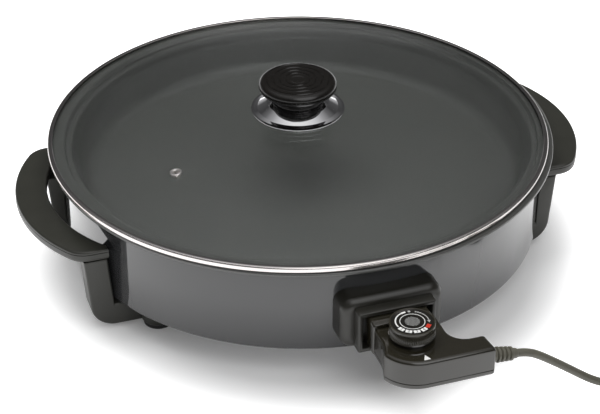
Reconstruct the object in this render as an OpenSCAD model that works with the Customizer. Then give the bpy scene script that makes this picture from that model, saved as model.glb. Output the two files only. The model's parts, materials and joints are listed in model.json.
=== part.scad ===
// Electric skillet: a shallow cast pan in a steel jacket, two loop handles on four legs,
// a glass lid with a steel rim, and a plug-in thermostat with a dial and a mains lead.
// Millimetres. The origin is on the table, under the middle of the pan. +X runs through
// the right handle, -Y runs out through the thermostat, +Z is up.

/* [Pan] */
// Outer radius of the steel jacket
body_r = 198; // [190:1:206]
// Height of the jacket and rim, from the underside to the top of the rim
body_h = 77; // [72:1:86]
// Height of the underside above the table
ground_h = 24; // [20:1:30]
// Depth of the pan, from the rim to the cooking floor
pan_depth = 37; // [34:1:42]
// How far the pan's wall leans in, from its mouth to the flat cooking floor
wall_lean = 19; // [16:1:31]
// Radius of the curve between the floor and the wall
floor_fillet = 12; // [6:1:14]
// Thickness of the cast pan
pan_t = 4; // [3:0.5:5]
// Width of the ledge between the pan's mouth and the jacket
ledge_w = 9; // [8:0.5:11]
// Depth of the ledge below the rim
ledge_drop = 4; // [3:0.5:5]
// How far the lip stands out over the jacket
lip_w = 10; // [8:0.5:12]
// Thickness of the lip
lip_t = 3; // [2.5:0.25:4]
// Thickness of the jacket's sheet
jacket_t = 1; // [0.8:0.1:1.2]
// Width of the jacket's turned-in bottom edge
jacket_turn = 12; // [10:1:12]
// Radius of the jacket's bottom bend
jacket_bend = 3; // [2:0.5:4]
// Thickness of the base plate
base_t = 1; // [0.8:0.1:1.2]
// Number of vent slots in the base plate
vent_slots = 12; // [6:1:16]

/* [Heater] */
// Radius of the heating element's ring
element_ring_r = 125; // [110:1:130]
// Radius of the element's tube
element_r = 4; // [3.5:0.25:4.25]
// Distance of each terminal from the middle of the socket
terminal_x = 14; // [12:0.5:15]
// Radius of a terminal pin
pin_r = 2.9; // [2.5:0.1:3]
// Number of clips that hold the element to the pan
element_clips = 4; // [3:1:6]
// Radius of the thermostat's sensor
probe_r = 3; // [2.5:0.1:3]

/* [Lid] */
// How far the lid's rim stays inside the lip
lid_inset = 1.5; // [1.5:0.5:3]
// How far the loose lid lies off the pan's middle, towards the right handle
lid_shift = -3; // [-3:0.5:3]
// Height of the steel rim
lid_rim_h = 5; // [4.5:0.5:6]
// Width of the steel rim, seen from above
lid_rim_w = 4; // [3:0.5:6]
// Thickness of the steel rim's sheet
lid_rim_t = 0.5; // [0.4:0.1:0.6]
// Thickness of the glass
glass_t = 4; // [3.5:0.5:4]
// Rise of the glass dome above its flat edge
glass_rise = 19; // [14:1:24]
// Width of the glass's flat edge
glass_flat = 10; // [8:1:14]
// Distance of the steam vent from the lid's middle
vent_r = 129.7; // [110:0.1:150]
// Direction of the steam vent, counted from the right handle
vent_turn = 203.8; // [0:0.2:360]
// Radius of the steam vent's hole
vent_hole_r = 2.2; // [1.5:0.1:3]
// Radius of the steel eyelet round the vent
eyelet_r = 4.8; // [4:0.2:6]

/* [Knob] */
// Radius of the knob
knob_r = 32.2; // [28:0.2:36]
// Height of the knob above the chrome cone
knob_h = 18.5; // [17:0.5:22]
// Radius of the knob's neck, at its foot
neck_r = 20.6; // [17:0.2:22]
// Radius of the chrome cone's foot
cone_r = 38.6; // [35:0.2:42]
// Height of the chrome cone
cone_h = 9; // [7:0.5:11]
// Radius of the knob's screw
knob_screw_r = 2.9; // [2.4:0.1:3]

/* [Handles and legs] */
// How far each handle reaches out from the jacket
grip_out = 42; // [39:1:47]
// Length of each handle, along the pan's side
grip_len = 168; // [160:2:176]
// Width of the grip
grip_w = 26; // [23:0.5:28]
// Thickness of the grip
grip_t = 10.4; // [9:0.2:12]
// Depth of the grip's top below the rim
grip_drop = 23; // [21:1:27]
// Radius of the grip's outer curve
grip_curve = 132; // [128:1:140]
// Length of a grip's arms, from the grip's outside towards the pan
grip_arm = 53.5; // [51:0.5:55]
// Width of a leg that stands away from the jacket, at its top
leg_w = 19; // [18:0.5:20]
// Thickness of a leg that hugs the jacket, at its top
leg_t = 11; // [10:0.5:12]
// Depth of a leg that stands away from the jacket, along the pan's side
leg_d = 21; // [19:0.5:22]
// Depth of a leg that hugs the jacket, along the pan's side
hug_d = 30; // [27:1:32]
// Gap between a leg and the jacket
leg_gap = 0.6; // [0.4:0.2:1.6]
// How far a leg leans in from its top to its heel
leg_lean = 3.4; // [2.6:0.2:4]
// Radius of a leg's heel
heel_r = 20; // [16:1:22]
// How far each foot stands in from the jacket's side, along the handles' axis
foot_in = 49; // [44:1:52]
// Distance of each foot from the middle of the pan, along the socket's axis
foot_y = 83; // [78:1:85]
// Radius of a rubber foot
foot_r = 12; // [11:0.5:13]
// Height of a rubber foot
foot_h = 4.5; // [4:0.5:6]

/* [Socket] */
// Width of the socket's shroud
shroud_w = 82; // [80:1:88]
// Height of the socket's shroud
shroud_h = 44; // [43:1:50]
// Distance of the shroud's front from the jacket
shroud_d = 16; // [14:1:18]
// Width of the socket's mouth frame
frame_w = 62; // [60:1:66]
// Height of the socket's mouth frame
frame_h = 35; // [34:0.5:37]
// How far the mouth frame stands out of the shroud
frame_d = 9; // [8:0.5:11]
// Wall of the mouth frame
frame_t = 3.5; // [3:0.25:4]

/* [Thermostat] */
// Width of the thermostat's nose
nose_w = 47; // [45:0.5:48]
// Length of the thermostat's body, from the nose to its front
control_l = 58; // [56:1:62]
// Width of the thermostat's body
control_w = 53.5; // [51:0.5:56]
// Height of the thermostat's side wall
control_wall = 21; // [20:0.5:23]
// Height of the rounded edge above the side wall
control_bevel = 3; // [2:0.5:3]
// Length of the cable arm, beyond the body
arm_l = 26.5; // [22:0.5:30]
// Width of the cable arm
arm_w = 19; // [18:0.5:20]
// Wall of the thermostat's shells
shell_t = 2; // [1.5:0.25:2.25]
// Radius of the dial
dial_r = 17.1; // [15:0.1:18]
// Height of the dial
dial_h = 11; // [9:0.5:13]
// Height of the collar under the dial
collar_h = 2.6; // [2:0.2:3.4]
// Number of ribs round the dial
dial_ribs = 60; // [36:2:72]
// Radius of the dial's spindle
spindle_r = 3; // [2.5:0.1:3.2]

/* [Lead and plug] */
// Diameter of the mains lead
cord_d = 6.3; // [5.5:0.1:6.6]
// Length of the strain relief outside the thermostat
relief_l = 21; // [20:0.5:24]
// Radius of the plug
plug_r = 18.5; // [17.5:0.25:19]
// Length of the plug's body
plug_l = 36; // [32:1:40]
// Radius of a plug pin
plug_pin_r = 2.4; // [2.4:0.05:2.45]
// Length of a plug pin
plug_pin_l = 19; // [19:0.5:20]
// Distance between the plug's pins
plug_pitch = 19; // [19:0.5:19.5]

/* [Hidden] */
$fn = 96;

// Clearances
seat = 0.3;          // between pieces of different bodies that rest on each other
slip = 0.1;          // round a shank or spigot in its own hole
run = 0.06;          // round the spindle in its bearing
plug_in = 0.5;       // round the thermostat's nose in the mouth frame
over = 1;            // how far a cut runs past the solid

// Levels, from the table up
base_z = ground_h;
rim_z = base_z + body_h;
ledge_z = rim_z - ledge_drop;
floor_z = rim_z - pan_depth;
under_z = floor_z - pan_t;
lip_under_z = rim_z - lip_t;
plate_z = base_z + jacket_t;
terminal_z = under_z - element_r;

// Pan and lid radii
mouth_r = body_r - ledge_w;
cook_r = mouth_r - wall_lean;
step_r = mouth_r + 5;
spigot_r = body_r - jacket_t - 0.5;
lip_r = body_r + lip_w;
lid_r = lip_r - lid_inset;
plate_r = body_r - jacket_t - jacket_bend + 0.5;

// Fasteners
m4_r = 1.9;
m4_head_r = 3;
m4_head_h = 2.6;
m3_r = 1.5;
post_r = 6;
post_bore_l = 20;
base_screw_x = 60;
base_screw_l = 14;
socket_screw_l = 14;
socket_screw_x = frame_w / 2 + 5;
leg_screw_l = 27;
grip_screw_l = 15;
head_depth = 9;

// Handles and legs: places for the right-hand pair
grip_reach = body_r + grip_out;
foot_x = body_r - foot_in;
grip_top_z = rim_z - grip_drop;
grip_under_z = grip_top_z - grip_t;
grip_in = grip_reach - grip_w;
grip_in_curve = grip_curve - 10;
grip_corner = 20;
grip_end_x = grip_reach - grip_arm;
leg_out_r = body_r + leg_gap + 3.5 + leg_t;
leg_out_x = grip_end_x + 0.5 + leg_w;
leg_front = grip_len / 2 - 1.5;
leg_y = leg_front - leg_d / 2;
hug_lean = 9;
near_bore_r = leg_out_r - leg_t / 2 - 1;
near_bore_x = sqrt(near_bore_r * near_bore_r - leg_y * leg_y);
far_bore_x = leg_out_x - leg_w / 2;
boss_r = foot_r + 1.5;
leg_seat_z = foot_h + 6;
boss_step = 0.4;

// Base plate
bead_r = 100;
bead_w = 8;
bead_h = 3;
vent_in_r = 75;
vent_l = 20;
vent_w = 3;

// Socket
tail_l = 12;
shroud_y = body_r + shroud_d;
shroud_z = terminal_z + 2;
frame_y = shroud_y + frame_d;
frame_back_y = body_r + 2;
frame_in_w = frame_w - 2 * frame_t;
frame_in_h = frame_h - 2 * frame_t;
block_t = 6;
block_y = frame_back_y + block_t;

// Thermostat: all lengths along -Y are written as positive distances
nose_y = block_y + 1;
nose_h = frame_in_h - 2 * plug_in;
nose_end_y = frame_y + 11;
control_y = frame_y + 3;
front_y = control_y + control_l;
control_z = terminal_z - frame_in_h / 2 + plug_in;
wall_top_z = control_z + control_wall;
control_top_z = wall_top_z + control_bevel;
split_z = control_z + 4.5;
arm_x = control_w / 2 + arm_l;
arm_y = front_y - arm_w;
arm_corner = 14;
arm_slope = 0.09;
front_corner = 30;
corner_turn = 20.5;
front_corner_x = front_corner * cos(corner_turn) - control_w / 2;
flare = 4;
flare_l = 18.5;
dial_y = front_y - 33;
dial_z = control_top_z + collar_h + seat;
dial_top_z = dial_z + dial_h;
relief_tilt = 8;
relief_z = control_z + 11;
relief_y = front_y - arm_w / 2;
sleeve_r = pin_r + 1.3;
control_hub = [0, -relief_y];

// Lead: the route, from the strain relief's end to the coil, and from the coil to the plug
cord_r = cord_d / 2;
lead_route = [[74, -274, 50], [80, -274, 49.1], [87, -274.2, 46.9], [94, -274.5, 43], [102, -274.6, 37.4],
              [111, -274.8, 30.9], [119.5, -275, 24.5], [128, -275.5, 18.2], [136, -276.2, 12.6],
              [144, -277, 8.2], [152, -278, 5.2], [160, -279, 3.8], [168, -278.4, 3.75],
              [178, -274.3, 3.75], [187, -266.6, 3.75], [193, -256.8, 3.75], [196, -247, 3.75],
              [196.5, -242, 3.75]];
tail_route = [[279, -256, 10.05], [277, -262.5, 9], [274.5, -269.5, 7.6], [271, -277, 6.4],
              [266, -285, 5.8], [259.5, -292.5, 6.2], [251.5, -299.5, 8], [243, -305, 11.2],
              [235.5, -308.6, 14.8], [228, -310, 17.8], [221, -310, 18.8]];
coil_x = 240;
coil_y = -242;
coil_out_r = 46.7;
coil_in_r = 21.4;
coil_z = 0.6;
coil_h = 12.7;
tie_t = 0.6;
tie_w = 6;
plug_tail = [221, -310, 18.8];
plug_relief_l = 22;
plug_shank_r = plug_pin_r - 0.2;

// Colours
grey_enamel = [0.42, 0.43, 0.44];
nonstick = [0.27, 0.28, 0.28];
bakelite = [0.16, 0.16, 0.14];
gloss_black = [0.09, 0.085, 0.07];
steel = [0.75, 0.75, 0.76];
copper = [0.72, 0.45, 0.25];
ceramic = [0.9, 0.88, 0.82];
clear = [0.7, 0.8, 0.8, 0.35];
lead_grey = [0.3, 0.29, 0.25];
white = [0.95, 0.95, 0.95];

// ---------------------------------------------------------------- helpers

// Points on an arc about [cx, cy], from angle a0 to a1, in n steps
function arc(cx, cy, r, a0, a1, n) =
    [for (i = [0:n]) let (a = a0 + (a1 - a0) * i / n) [cx + r * cos(a), cy + r * sin(a)]];

// A rectangle with round corners, counted round from its lower right
function round_box(w, h, r, n) =
    concat(arc(w / 2 - r, -h / 2 + r, r, -90, 0, n), arc(w / 2 - r, h / 2 - r, r, 0, 90, n),
           arc(-w / 2 + r, h / 2 - r, r, 90, 180, n), arc(-w / 2 + r, -h / 2 + r, r, 180, 270, n));

function at_height(outline, z) = [for (p = outline) [p[0], p[1], z]];

// One closed solid through rings of points, each ring counted counter-clockwise from above. An
// outline that bends in gets a hub, [x, y], from which all of its points can be seen.
module loft(rings, hub = []) {
    n = len(rings[0]);
    last = len(rings) - 1;
    top = last * n;
    sides = [for (k = [0:last - 1], i = [0:n - 1])
             let (j = (i + 1) % n, low = k * n, high = low + n)
             for (side = [[low + i, high + i, high + j], [low + i, high + j, low + j]]) side];
    caps = hub == [] ? [[for (i = [0:n - 1]) i], [for (i = [n - 1:-1:0]) top + i]]
         : [for (i = [0:n - 1]) let (j = (i + 1) % n)
            for (cap = [[i, j, top + n], [top + j, top + i, top + n + 1]]) cap];
    hubs = hub == [] ? [] : [for (ring = [rings[0], rings[last]]) [hub[0], hub[1], ring[0][2]]];
    polyhedron(points = concat([for (ring = rings, p = ring) p], hubs), faces = concat(caps, sides),
               convexity = 6);
}

function unit(v) = v / norm(v);

// A round tube through the points of a route that never stands upright
module tube(route, r, sides) {
    last = len(route) - 1;
    rings = [for (i = [0:last])
             let (t = unit(route[min(i + 1, last)] - route[max(i - 1, 0)]),
                  across = unit(cross([0, 0, 1], t)),
                  up = cross(t, across))
             [for (k = [0:sides - 1])
              let (a = 360 * k / sides)
              route[i] + r * (cos(a) * across + sin(a) * up)]];
    loft(rings);
}

// Places a piece drawn at the right front at another corner
module at_leg(sx, sy) {
    mirror([sx < 0 ? 1 : 0, 0, 0]) mirror([0, sy > 0 ? 1 : 0, 0]) children();
}

// Both handle units are alike and face each other, so the far legs stand at opposite corners
function is_far(sx, sy) = sx * sy > 0;

module ring(r_out, r_in, h) {
    difference() {
        cylinder(r = r_out, h = h);
        translate([0, 0, -over]) cylinder(r = r_in, h = h + 2 * over);
    }
}

// A pan-head screw that points up, its head's seat at the origin
module screw(r, length, head_r, head_h) {
    cylinder(r = r, h = length);
    difference() {
        translate([0, 0, -head_h]) cylinder(r = head_r, h = head_h);
        for (a = [0, 90]) rotate([0, 0, a]) translate([-head_r * 0.6, -0.5, -head_h - over])
            cube([head_r * 1.2, 1, over + head_h * 0.5]);
    }
}

// ---------------------------------------------------------------- pan and jacket

// The pan's section: [radius, height]
function pan_inside() =
    concat([[0, floor_z]],
           arc(cook_r, floor_z + floor_fillet, floor_fillet, -90, -18, 8),
           arc(mouth_r + 1.5, ledge_z - 1.5, 1.5, 162, 90, 4),
           [[step_r, ledge_z], [step_r + 1, rim_z - 0.6], [step_r + 2, rim_z]],
           arc(lip_r - 1.2, rim_z - 1.2, 1.2, 90, 0, 4));

function pan_outside() =
    concat([[lip_r, lip_under_z + 0.8], [lip_r - 1, lip_under_z], [spigot_r, lip_under_z],
            [spigot_r, ledge_z - pan_t], [mouth_r + pan_t, ledge_z - pan_t]],
           arc(cook_r, floor_z + floor_fillet, floor_fillet + pan_t, -18, -90, 8),
           [[0, under_z]]);

module pan() {
    color(nonstick) difference() {
        union() {
            rotate_extrude($fn = 180) polygon(concat(pan_inside(), pan_outside()));
            at_posts() translate([0, 0, plate_z + base_t])
                cylinder(r = post_r, h = under_z + pan_t / 2 - plate_z - base_t);
        }
        at_posts() translate([0, 0, plate_z])
            cylinder(r = m4_r + slip, h = post_bore_l);
    }
}

// The cast posts: one over each foot, and two for the middle of the base plate
module at_posts() {
    for (sx = [-1, 1], sy = [-1, 1]) translate([sx * foot_x, sy * foot_y, 0]) children();
    at_base_screws() children();
}

module at_base_screws() {
    for (sx = [-1, 1]) translate([sx * base_screw_x, 0, 0]) children();
}

module jacket() {
    inner = body_r - jacket_t;
    color(grey_enamel) difference() {
        rotate_extrude($fn = 180) polygon(concat(
            [[body_r, lip_under_z]],
            [[inner, lip_under_z]],
            arc(body_r - jacket_bend, base_z + jacket_bend, jacket_bend - jacket_t, 0, -90, 5),
            [[body_r - jacket_turn, plate_z], [body_r - jacket_turn, base_z]],
            arc(body_r - jacket_bend, base_z + jacket_bend, jacket_bend, -90, 0, 6)));
        translate([-frame_in_w / 2, -body_r - over, terminal_z - frame_in_h / 2])
            cube([frame_in_w, jacket_turn, frame_in_h]);
        at_socket_screws() cylinder(r = m4_r + slip, h = shroud_d + jacket_turn);
    }
}

// The base plate: a steel disc with a stiffening bead and a ring of vent slots
module base_plate() {
    flat = bead_w - bead_h;
    wide = bead_w + base_t / 2;
    top_z = plate_z + base_t;
    color(steel) difference() {
        rotate_extrude($fn = 180) polygon([
            [0, plate_z], [bead_r - bead_w, plate_z], [bead_r - flat, plate_z + bead_h],
            [bead_r + flat, plate_z + bead_h], [bead_r + bead_w, plate_z], [plate_r, plate_z],
            [plate_r, top_z], [bead_r + wide, top_z], [bead_r + wide - bead_h, top_z + bead_h],
            [bead_r + bead_h - wide, top_z + bead_h], [bead_r - wide, top_z], [0, top_z]]);
        for (i = [0:vent_slots - 1]) rotate([0, 0, (i + 0.5) * 360 / vent_slots])
            translate([vent_in_r, -vent_l / 2, plate_z - over]) cube([vent_w, vent_l, base_t + 2 * over]);
        at_posts() translate([0, 0, plate_z - over]) cylinder(r = m4_r + slip, h = base_t + 2 * over);
    }
}

module base_screws() {
    color(steel) at_base_screws() translate([0, 0, plate_z]) screw(m4_r, base_screw_l, m4_head_r, m4_head_h);
}

// ---------------------------------------------------------------- heater and socket

// The element's centre line: out of one seal, round the pan and back to the other seal
function element_route() =
    let (bend = 14,
         start_y = frame_back_y - tail_l,
         far = element_ring_r + bend,
         side = terminal_x + bend,
         join_y = sqrt(far * far - side * side),
         turn = acos(side / far),
         n = 40)
    concat([[terminal_x, -start_y, 0], [terminal_x, -(start_y + join_y) / 2, 0]],
           [for (p = arc(side, -join_y, bend, 180, 180 - turn, 6)) [p[0], p[1], 0]],
           [for (i = [1:n - 1]) let (a = -turn + (180 + 2 * turn) * i / n)
            [element_ring_r * cos(a), element_ring_r * sin(a), 0]],
           [for (p = arc(-side, -join_y, bend, turn, 0, 6)) [p[0], p[1], 0]],
           [[-terminal_x, -(start_y + join_y) / 2, 0], [-terminal_x, -start_y, 0]]);

module heating_element() {
    color([0.35, 0.34, 0.33]) translate([0, 0, terminal_z]) tube(element_route(), element_r, 12);
}

module element_seals() {
    color(ceramic) for (s = [-1, 1]) translate([s * terminal_x, -(frame_back_y - tail_l), terminal_z])
        rotate([90, 0, 0]) difference() {
            cylinder(r = element_r + 0.8, h = 3);
            translate([0, 0, -over]) cylinder(r = pin_r + slip, h = 3 + 2 * over);
        }
}

module terminal_pins() {
    start_y = frame_back_y - tail_l;
    color(steel) for (s = [-1, 1]) translate([s * terminal_x, -start_y, terminal_z]) rotate([90, 0, 0]) {
        cylinder(r = pin_r, h = nose_y + 8.5 - start_y);
        translate([0, 0, nose_y + 8.5 - start_y]) cylinder(r1 = pin_r, r2 = pin_r - 1.2, h = 1.5);
    }
}

// Sheet clips over the element, each screwed face to the pan's underside
module element_clips_set() {
    t = 1.2;
    w = 12;
    inner = element_r + seat + slip;
    color(steel) for (i = [0:element_clips - 1])
        rotate([0, 0, 90 + (i - (element_clips - 1) / 2) * 240 / element_clips])
            translate([element_ring_r, w / 2, terminal_z]) rotate([90, 0, 0]) {
                linear_extrude(w) difference() {
                    union() {
                        circle(r = inner + t, $fn = 48);
                        translate([-inner - t, 0]) square([2 * (inner + t), element_r]);
                        translate([-inner - t - 8, element_r - t]) square([2 * (inner + t + 8), t]);
                    }
                    circle(r = inner, $fn = 48);
                    translate([-inner, 0]) square([2 * inner, element_r + over]);
                    translate([-inner - t - over, element_r]) square([2 * (inner + t + over), t + over]);
                }
            }
}

module probe_sleeve() {
    start_y = 142;
    end_y = body_r - 6;
    color(steel) translate([0, -start_y, terminal_z]) {
        rotate([90, 0, 0]) ring(element_r, probe_r + seat, end_y - start_y);
        for (y = [0, end_y - start_y - 14])
            difference() {
                translate([-10, -y - 12, element_r - 1.2]) cube([20, 12, 1.2]);
                rotate([90, 0, 0]) cylinder(r = probe_r + seat, h = end_y);
            }
    }
}

module terminal_block() {
    color(ceramic) difference() {
        translate([-frame_in_w / 2 + slip, -block_y, terminal_z - frame_in_h / 2 + slip])
            cube([frame_in_w - 2 * slip, block_t, frame_in_h - 2 * slip]);
        for (s = [-1, 1]) translate([s * terminal_x, -frame_back_y + over, terminal_z])
            rotate([90, 0, 0]) cylinder(r = pin_r + slip, h = block_t + 2 * over);
        translate([0, -frame_back_y + over, terminal_z])
            rotate([90, 0, 0]) cylinder(r = probe_r + 0.5, h = block_t + 2 * over);
        translate([-4 - slip, -block_y - over, terminal_z - 10 - slip])
            cube([8 + 2 * slip, block_t + 2 * over, 1.2 + 2 * slip]);
    }
}

module earth_blade() {
    color(copper) translate([-4, -nose_y - 8, terminal_z - 10]) cube([8, nose_y + 8 - frame_back_y + 2, 1.2]);
}

// The shroud: a deep rounded block whose back follows the jacket
module socket_shroud() {
    depths = [[-12, 0], [shroud_d - 9, 0], [shroud_d - 5, 1], [shroud_d - 2, 3], [shroud_d - 0.6, 5.5],
              [shroud_d, 8]];
    color(bakelite) difference() {
        translate([0, 0, shroud_z]) rotate([90, 0, 0]) loft([for (d = depths)
            at_height(round_box(shroud_w - 2 * d[1], shroud_h - 2 * d[1], 11 - d[1], 6), body_r + d[0])]);
        translate([0, 0, shroud_z - shroud_h]) cylinder(r = body_r + slip, h = 2 * shroud_h, $fn = 180);
        translate([-frame_w / 2 - slip, -shroud_y - over, terminal_z - frame_h / 2 - slip])
            cube([frame_w + 2 * slip, shroud_d + 12, frame_h + 2 * slip]);
        at_socket_screws() cylinder(r = m4_r + slip, h = shroud_d + jacket_turn);
    }
}

// The two screws' axes, pointing out through the jacket
module at_socket_screws() {
    for (s = [-1, 1]) translate([s * socket_screw_x, -body_r + shroud_d, terminal_z + 1])
        rotate([90, 0, 0]) children();
}

module socket_screws() {
    inner = body_r - jacket_t;
    seat_y = sqrt(inner * inner - pow(socket_screw_x + m4_head_r, 2)) - 1.2;
    color(steel) for (s = [-1, 1]) translate([s * socket_screw_x, -seat_y, terminal_z + 1])
        rotate([90, 0, 0]) screw(m4_r, socket_screw_l, m4_head_r, m4_head_h);
}

module socket_frame() {
    color(bakelite) difference() {
        translate([0, 0, terminal_z]) rotate([90, 0, 0]) loft([
            for (d = [[frame_back_y, 0], [frame_y - 0.8, 0], [frame_y, 0.8]])
            at_height(round_box(frame_w - 2 * d[1], frame_h - 2 * d[1], 1.5, 3), d[0])]);
        translate([-frame_in_w / 2, -frame_y - over, terminal_z - frame_in_h / 2])
            cube([frame_in_w, frame_y - frame_back_y + 2 * over, frame_in_h]);
    }
}

// ---------------------------------------------------------------- handles, legs and feet

// How far each level of a grip is drawn in: [height, inset]
grip_levels = [[0, 3.4], [0.7, 2], [2, 0.8], [4, 0], [grip_t - 3.4, 0], [grip_t - 3.3, 0.8],
               [grip_t - 2.8, 0.8], [grip_t - 2.7, 0], [grip_t - 1.6, 0.1], [grip_t - 0.6, 0.8],
               [grip_t, 2.2]];

// The grip's ends, seen from above: a straight end with a corner that runs into the outer curve
function grip_ends() =
    let (cx = grip_reach - grip_curve,
         corner_y = grip_len / 2 + 0.3 - grip_corner,
         corner_dx = sqrt(pow(grip_curve - grip_corner, 2) - corner_y * corner_y),
         turn = atan2(corner_y, corner_dx),
         past = (grip_curve + 6) * [cos(turn), sin(turn)])
    concat([[grip_end_x, -grip_len / 2 - 0.3]],
           arc(cx + corner_dx, -corner_y, grip_corner, -90, -turn, 6),
           [[cx + past[0], -past[1]], [grip_reach + 40, -past[1]], [grip_reach + 40, past[1]],
            [cx + past[0], past[1]]],
           arc(cx + corner_dx, corner_y, grip_corner, turn, 90, 6),
           [[grip_end_x, grip_len / 2 + 0.3]]);

// The grip: a flat loop with rounded edges and a fine step below its top edge
module grip(s) {
    rise = [for (l = grip_levels) [grip_curve - l[1], l[0]]];
    fall = [for (k = [len(grip_levels) - 1:-1:0]) grip_levels[k]];
    color(bakelite) rotate([0, 0, s < 0 ? 180 : 0]) translate([0, 0, grip_under_z]) difference() {
        intersection() {
            translate([grip_reach - grip_curve, 0, 0]) rotate_extrude($fn = 240)
                polygon(concat([[0, 0]], rise, [[0, grip_t]]));
            rotate([90, 0, 90]) linear_extrude(grip_reach + over) polygon(concat(
                [for (l = grip_levels) [grip_len / 2 - l[1], l[0]]],
                [for (l = fall) [l[1] - grip_len / 2, l[0]]]));
            translate([0, 0, -over]) linear_extrude(grip_t + 2 * over) polygon(grip_ends());
        }
        translate([grip_in - grip_in_curve, 0, 0]) rotate_extrude($fn = 240) polygon(concat(
            [[0, -over], [grip_in_curve + grip_levels[0][1], -over]],
            [for (l = grip_levels) [grip_in_curve + l[1], l[0]]],
            [[grip_in_curve + fall[0][1], grip_t + over], [0, grip_t + over]]));
        for (sy = [-1, 1]) translate([sy < 0 ? near_bore_x : far_bore_x, sy * leg_y, -over])
            cylinder(r = m4_r + slip, h = 7 + over);
    }
}

// A leg's section, out from the pan's axis: a leaning column beside the jacket and an arm below it
function leg_section(out, width, lean) =
    let (start = foot_x - 20)
    concat([[out - width, grip_under_z], [out - width - lean, base_z - boss_step],
            [start, base_z - boss_step], [start, foot_h + boss_step]],
           arc(out - leg_lean - heel_r, foot_h + boss_step + heel_r, heel_r, -90, 0, 10),
           [[out, grip_under_z]]);

// A leg, drawn at the right front: it drops from the grip, turns under the pan and ends in a round
// boss that stands a little proud. A near leg hugs the jacket's curve, and a far leg stands straight.
module leg(far) {
    color(bakelite) difference() {
        union() {
            intersection() {
                if (far)
                    rotate([90, 0, 0]) linear_extrude(body_r) polygon(leg_section(leg_out_x, leg_w, leg_lean));
                else
                    rotate([0, 0, 45]) rotate_extrude($fn = 180)
                        polygon(leg_section(leg_out_r, leg_t, hug_lean));
                translate([foot_x + 3, -leg_front, 0])
                    cube([leg_out_r, far ? leg_d : hug_d, grip_under_z + over]);
            }
            translate([foot_x, -foot_y, foot_h]) rotate([0, 0, 135]) cylinder(r = boss_r, h = base_z - foot_h);
        }
        translate([0, 0, base_z]) cylinder(r = body_r + leg_gap, h = body_h, $fn = 180);
        translate([foot_x, -foot_y, 0]) {
            cylinder(r = foot_r / 2 + slip, h = foot_h + 2);
            cylinder(r = m4_head_r + 0.6, h = leg_seat_z);
            cylinder(r = m4_r + slip, h = plate_z + over);
        }
        translate([far ? far_bore_x : near_bore_x, -leg_y, 0]) {
            cylinder(r = m4_head_r + 0.4, h = grip_under_z - head_depth);
            cylinder(r = m4_r + slip, h = grip_under_z + over);
        }
    }
}

// A rubber foot, pressed into the leg's boss and chamfered at the table
module foot() {
    color([0.08, 0.08, 0.08]) translate([foot_x, -foot_y, 0]) {
        cylinder(r1 = foot_r - 1, r2 = foot_r, h = 1);
        translate([0, 0, 1]) cylinder(r = foot_r, h = foot_h - 1);
        translate([0, 0, foot_h]) cylinder(r = foot_r / 2, h = 1.9);
    }
}

module leg_screws() {
    color(steel) for (sx = [-1, 1], sy = [-1, 1]) translate([sx * foot_x, sy * foot_y, leg_seat_z])
        screw(m4_r, leg_screw_l, m4_head_r, m4_head_h);
}

module grip_screws() {
    color(steel) for (sx = [-1, 1], sy = [-1, 1])
        translate([sx * (is_far(sx, sy) ? far_bore_x : near_bore_x), sy * leg_y, grip_under_z - head_depth])
            screw(m4_r, grip_screw_l, m4_head_r, m4_head_h);
}

// ---------------------------------------------------------------- lid

lid_z = rim_z + seat;
glass_z = lid_z + (lid_rim_h - glass_t) / 2;
glass_edge_r = lid_r - lid_rim_t;
dome_edge_r = glass_edge_r - glass_flat;
dome_ball_r = (dome_edge_r * dome_edge_r + glass_rise * glass_rise) / (2 * glass_rise);
apex_z = glass_z + glass_t + glass_rise;
ball_z = apex_z - dome_ball_r;

// The lid lies loose on the rim
module on_lid() {
    translate([lid_shift, 0, 0]) children();
}

// Places its children on the glass, at the vent, with their +Z square to the glass
module at_vent() {
    translate([0, 0, ball_z]) rotate([0, 0, vent_turn]) rotate([0, asin(vent_r / dome_ball_r), 0])
        translate([0, 0, dome_ball_r]) children();
}

module lid_glass() {
    color(clear) difference() {
        rotate_extrude($fn = 180) {
            translate([dome_edge_r - 1, glass_z]) square([glass_flat + 1, glass_t]);
            intersection() {
                translate([0, ball_z]) difference() {
                    circle(r = dome_ball_r, $fn = 720);
                    circle(r = dome_ball_r - glass_t, $fn = 720);
                }
                translate([0, glass_z]) square([dome_edge_r, glass_rise + glass_t + over]);
            }
        }
        translate([0, 0, apex_z - 2 * glass_t]) cylinder(r = knob_screw_r + 0.6, h = 4 * glass_t);
        at_vent() translate([0, 0, -2 * glass_t]) cylinder(r = vent_hole_r + 0.5 + slip, h = 4 * glass_t);
    }
}

// The rim: a sheet-steel band folded over the edge of the glass
module lid_rim() {
    inner_r = lid_r - lid_rim_w;
    top_z = lid_z + lid_rim_h;
    bend = 1;
    color(steel) rotate_extrude($fn = 180) polygon(concat(
        [[inner_r, lid_z]],
        arc(lid_r - bend, lid_z + bend, bend, -90, 0, 3),
        arc(lid_r - bend, top_z - bend, bend, 0, 90, 3),
        [[inner_r, top_z], [inner_r, glass_z + glass_t], [glass_edge_r, glass_z + glass_t],
         [glass_edge_r, glass_z], [inner_r, glass_z]]));
}

module vent_eyelet() {
    color(steel) at_vent() difference() {
        union() {
            translate([0, 0, -glass_t - 0.6]) cylinder(r = vent_hole_r + 0.5, h = glass_t + 1.2);
            cylinder(r1 = eyelet_r, r2 = eyelet_r - 1, h = 0.8);
            translate([0, 0, -glass_t - 0.6]) cylinder(r = eyelet_r - 0.8, h = 0.5);
        }
        translate([0, 0, -2 * glass_t]) cylinder(r = vent_hole_r, h = 4 * glass_t);
    }
}

// ---------------------------------------------------------------- knob

cone_foot_z = ball_z + sqrt(dome_ball_r * dome_ball_r - cone_r * cone_r) + 0.05;
cone_top_z = cone_foot_z + cone_h;
knob_top_z = cone_top_z + knob_h;

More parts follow.
